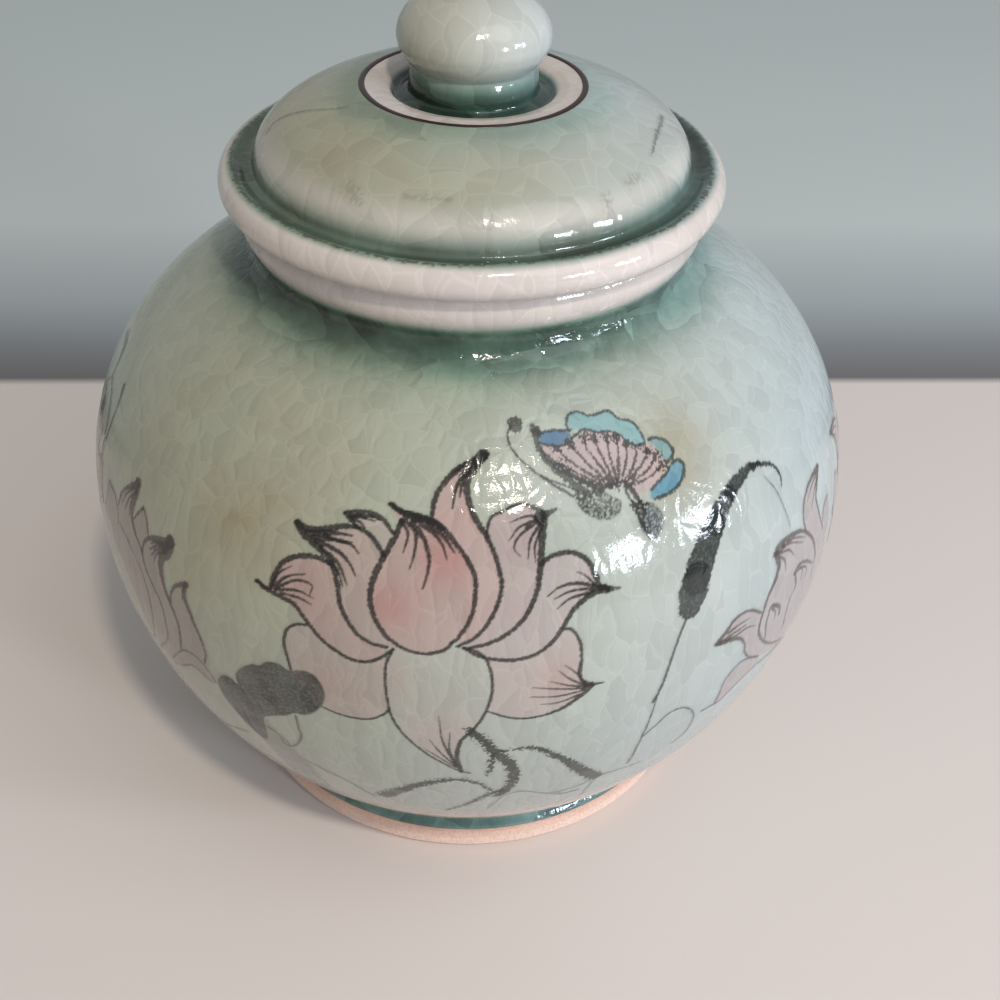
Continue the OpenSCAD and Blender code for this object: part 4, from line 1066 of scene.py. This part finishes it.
# The edge of a pool wanders by a cloud of noise
wander = node(tree, "MapRange", {"Value": cloud.outputs["Fac"], "From Min": 0.3, "From Max": 0.7,
                                 "To Min": 0.6, "To Max": 1.25})
pooled = node(tree, "Math", {0: pool_drain.outputs["Red"], 1: wander.outputs[0]}, operation="MULTIPLY",
              use_clamp=True)
depth = node(tree, "ValToRGB", {"Fac": pooled.outputs[0]})
stops = [(0.0, "a3aaa5"), (0.25, "8d9b94"), (0.5, "687f78"), (0.75, "445b54"), (1.0, "2d413a")]
while len(depth.color_ramp.elements) < len(stops):
    depth.color_ramp.elements.new(0.5)
for element, (at, colour) in zip(depth.color_ramp.elements, stops):
    element.position, element.color = at, rgba(colour)
# The side tint: warm and darker toward the left, cool and lighter toward the right and the bottom, partly
# yellowing and partly painted shade and light.
yellowed_and_side_lit = node(tree, "Mix", {0: shares.outputs["Alpha"], 6: (1.04, 1.06, 1.12, 1), 7: (0.93, 0.88, 0.74, 1)},
                data_type="RGBA")
tinted = node(tree, "Mix", {0: 1.0, 6: depth.outputs["Color"], 7: yellowed_and_side_lit.outputs[2]}, data_type="RGBA",
              blend_type="MULTIPLY")
blot = node(tree, "MapRange", {"Value": cloud.outputs["Fac"], "From Min": 0.35, "From Max": 0.65,
                               "To Min": 0.3, "To Max": 0.95})
spot = node(tree, "Math", {0: pool_drain.outputs["Blue"], 1: blot.outputs[0]}, operation="MULTIPLY",
            use_clamp=True)
stained = node(tree, "Mix", {0: spot.outputs[0], 6: tinted.outputs[2], 7: rgba("93876a")}, data_type="RGBA")
drained = node(tree, "Mix", {0: pool_drain.outputs["Green"], 6: stained.outputs[2], 7: rgba("c6bcb5")},
               data_type="RGBA")
# Paint was kept times its share, so what is under it is dimmed by what it covers and the paint is added
bare = node(tree, "Math", {0: 1.0, 1: paint.outputs["Alpha"]}, operation="SUBTRACT", use_clamp=True)
under = node(tree, "Mix", {0: 1.0, 6: drained.outputs[2], 7: bare.outputs[0]}, data_type="RGBA",
             blend_type="MULTIPLY")
painted = node(tree, "Mix", {0: 1.0, 6: under.outputs[2], 7: paint.outputs["Color"]}, data_type="RGBA",
               blend_type="ADD")
# Each cell and each flake has a tone of its own, stronger where the glaze is thick
tone = node(tree, "SeparateColor", {"Color": cells.outputs["Color"]})
tone_b = node(tree, "MapRange", {"Value": tone.outputs["Red"], "To Min": 0.94, "To Max": 1.05})
flake_tone = node(tree, "SeparateColor", {"Color": flakes.outputs["Color"]})
flake_b = node(tree, "MapRange", {"Value": flake_tone.outputs["Green"], "To Min": -0.42, "To Max": 0.5})
strong = node(tree, "Math", {0: flake_b.outputs[0], 1: pooled.outputs[0], 2: tone_b.outputs[0]},
              operation="MULTIPLY_ADD")
line_b = node(tree, "MapRange", {"Value": cracks.outputs["Distance"], "From Min": 0.0, "From Max": 0.04,
                                 "To Min": 0.09, "To Max": 0.0})
lit = node(tree, "Math", {0: strong.outputs[0], 1: line_b.outputs[0]}, operation="ADD")
final = node(tree, "Mix", {0: 1.0, 6: painted.outputs[2], 7: lit.outputs[0]}, data_type="RGBA",
             blend_type="MULTIPLY")
tree.links.new(final.outputs[2], glass.inputs["Base Color"])
rise = node(tree, "MapRange", {"Value": cracks.outputs["Distance"], "From Max": 0.3},
            interpolation_type="SMOOTHSTEP")
split = node(tree, "MapRange", {"Value": splits.outputs["Distance"], "From Max": 0.06})
deep = node(tree, "Math", {0: split.outputs[0], 1: pooled.outputs[0], 2: rise.outputs[0]},
            operation="MULTIPLY_ADD")
peel = node(tree, "TexNoise", {"Vector": place, "Scale": 2.3, "Detail": 2.0})
bump_a = node(tree, "Bump", {"Height": deep.outputs[0], "Distance": 0.00005, "Strength": 1.0})
bump_b = node(tree, "Bump", {"Height": peel.outputs["Fac"], "Distance": 0.00003, "Strength": 1.0,
                             "Normal": bump_a.outputs[0]})
tree.links.new(bump_b.outputs[0], glass.inputs["Normal"])
print("celadon nodes:", len(tree.nodes))

# %% [markdown]
# ### Iron oxide, bare clay and biscuit
# Iron oxide fires to a red-brown under a thin gloss. Bare stoneware is matt and gritty, and flashes orange
# beside the glaze line. Grit is 0.5 mm.

# %% The other materials
iron, _, _ = material("iron oxide line", 0.25, "2c140e")
clay, tree, matt = material("bare foot clay", 0.75, "dcb7a2")
where = node(tree, "TexCoord").outputs["Object"]
grit = node(tree, "TexNoise", {"Vector": where, "Scale": 1800.0, "Detail": 3.0})
patch = node(tree, "TexNoise", {"Vector": where, "Scale": 90.0, "Detail": 3.0})
flash = node(tree, "SeparateXYZ", {0: where})
high = node(tree, "MapRange", {"Value": flash.outputs["Z"], "From Min": 0.001, "From Max": 0.0055})
mixed = node(tree, "Math", {0: high.outputs[0], 1: patch.outputs["Fac"]}, operation="MULTIPLY",
             use_clamp=True)
warm = node(tree, "Mix", {0: mixed.outputs[0], 6: rgba("e6cabb"), 7: rgba("bd7a56")}, data_type="RGBA")
speck = node(tree, "MapRange", {"Value": grit.outputs["Fac"], "From Min": 0.35, "From Max": 0.6,
                                "To Min": 0.86, "To Max": 1.04})
sandy = node(tree, "Mix", {0: 1.0, 6: warm.outputs[2], 7: speck.outputs[0]}, data_type="RGBA",
             blend_type="MULTIPLY")
tree.links.new(sandy.outputs[2], matt.inputs["Base Color"])
rough = node(tree, "Bump", {"Height": grit.outputs["Fac"], "Distance": 0.0001, "Strength": 0.5})
tree.links.new(rough.outputs[0], matt.inputs["Normal"])
biscuit, tree, dull = material("biscuit stoneware", 0.8, "cdbcaa")
where = node(tree, "TexCoord").outputs["Object"]
grit = node(tree, "TexNoise", {"Vector": where, "Scale": 1500.0, "Detail": 4.0})
tan = node(tree, "Mix", {0: grit.outputs["Fac"], 6: rgba("b5a08c"), 7: rgba("ddd0c2")}, data_type="RGBA")
tree.links.new(tan.outputs[2], dull.inputs["Base Color"])
rough = node(tree, "Bump", {"Height": grit.outputs["Fac"], "Distance": 0.0001, "Strength": 0.4})
tree.links.new(rough.outputs[0], dull.inputs["Normal"])
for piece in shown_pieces():
    cad = piece.get("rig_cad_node")
    made = iron if "iron" in piece.name else clay if "foot" in piece.name else biscuit if cad else celadon
    piece.data.materials.clear()
    piece.data.materials.append(made)
    print(piece.name, "->", made.name)

# %% [markdown]
# ## The room
# A pale table, a soft sky all round, one warm lamp in front and above, and two cool windows low on the
# right, whose reflections are the bright spots on the belly. Behind the table's edge the floor turns
# grey-blue like a wall, with painted shade along the foot of that wall, darkest at the edge.

# %% Floor and lamps
bpy.ops.mesh.primitive_plane_add(size=12.0, location=(0, 0, 0))
floor = bpy.context.object
table, tree, top = material("painted table", 0.5, "d6cbc5")
where = node(tree, "TexCoord").outputs["Object"]
parts = node(tree, "SeparateXYZ", {0: where})
TABLE_SLANT = -0.0245
behind_it = node(tree, "Math", {0: parts.outputs["X"], 1: TABLE_SLANT, 2: parts.outputs["Y"]},
                 operation="MULTIPLY_ADD")
# Past the table's edge: a band of painted shade, darkest at the edge, that lightens over 11 cm into the
# wall's grey-blue.
edge = node(tree, "ValToRGB", {"Fac": behind_it.outputs[0]})
ramp = edge.color_ramp
ramp.elements[0].position, ramp.elements[0].color = 0.1300, rgba("d6cbc5")
ramp.elements[1].position, ramp.elements[1].color = 0.1318, rgba("6c686a")
for at, colour in ((0.15, "7e8083"), (0.18, "a1a8aa"), (0.24, "c4cac8")):
    element = ramp.elements.new(at)
    element.color = rgba(colour)
tree.links.new(edge.outputs["Color"], top.inputs["Base Color"])
floor.data.materials.append(table)
world = bpy.data.worlds.new("soft sky")
bpy.context.scene.world = world
world.use_nodes = True
world.node_tree.nodes["Background"].inputs["Color"].default_value = rgba("c3c9cc")
world.node_tree.nodes["Background"].inputs["Strength"].default_value = 0.66


def lamp(name, azimuth, elevation, size, watts, colour, far=0.85):
    """A round lamp, far m from the jar's belly, seen from there at an azimuth to the right of the front."""
    a, e = np.radians([azimuth, elevation])
    way = np.array([np.sin(a) * np.cos(e), -np.cos(a) * np.cos(e), np.sin(e)])
    data = bpy.data.lights.new(name, "AREA")
    data.shape, data.size, data.energy, data.color = "DISK", size, watts, rgba(colour)[:3]
    made = bpy.data.objects.new(name, data)
    spot = Matrix.Translation(np.array([0, 0, 0.09]) + far * way)
    z = way
    x = np.cross((0, 0, 1), z)
    x /= np.linalg.norm(x)
    turn = Matrix(np.c_[x, np.cross(z, x), z].tolist()).to_4x4()
    made.matrix_world = spot @ turn
    bpy.context.scene.collection.objects.link(made)
    return made


lamp("warm_lamp", 15, 52, 0.06, 2.7, "fff1de")
lamp("soft_lamp", 48, 52, 1.3, 6.6, "f4f7ff", far=1.6)
lamp("near_window", 44, 12, 0.12, 2.5, "e6f0ff")
lamp("far_window", 68, 13, 0.12, 2.2, "e6f0ff")

# %% [markdown]
# ## The camera
# It stands where the circles of lip, lid and foot look as they do in the picture: 38 degrees above the
# table and 0.3 m away, with a lens of 49.6 mm on a 36 mm sensor.

# %% Camera
CAMERA_FAR, LOOKS_AT = 0.29625, 0.05415
RISE, ROLL, YAW = np.radians([37.75, -0.6, 1.27])
ahead = np.array([0, np.cos(RISE), -np.sin(RISE)])
up = np.array([0, np.sin(RISE), np.cos(RISE)])
side = np.array([np.cos(YAW), 0, 0]) - ahead * np.sin(YAW)
forward = np.array([np.sin(YAW), 0, 0]) + ahead * np.cos(YAW)
across = side * np.cos(ROLL) - up * np.sin(ROLL)
upward = side * np.sin(ROLL) + up * np.cos(ROLL)
lens = bpy.data.cameras.new("camera")
lens.lens, lens.sensor_width, lens.clip_start = 49.608, 36, 0.01
camera = bpy.data.objects.new("camera", lens)
turn = Matrix(np.c_[across, upward, -forward].tolist()).to_4x4()
place = (0, -CAMERA_FAR * np.cos(RISE), LOOKS_AT + CAMERA_FAR * np.sin(RISE))
camera.matrix_world = Matrix.Translation(place) @ turn
bpy.context.scene.collection.objects.link(camera)
bpy.context.scene.camera = camera
bpy.context.scene.view_settings.view_transform = "Standard"
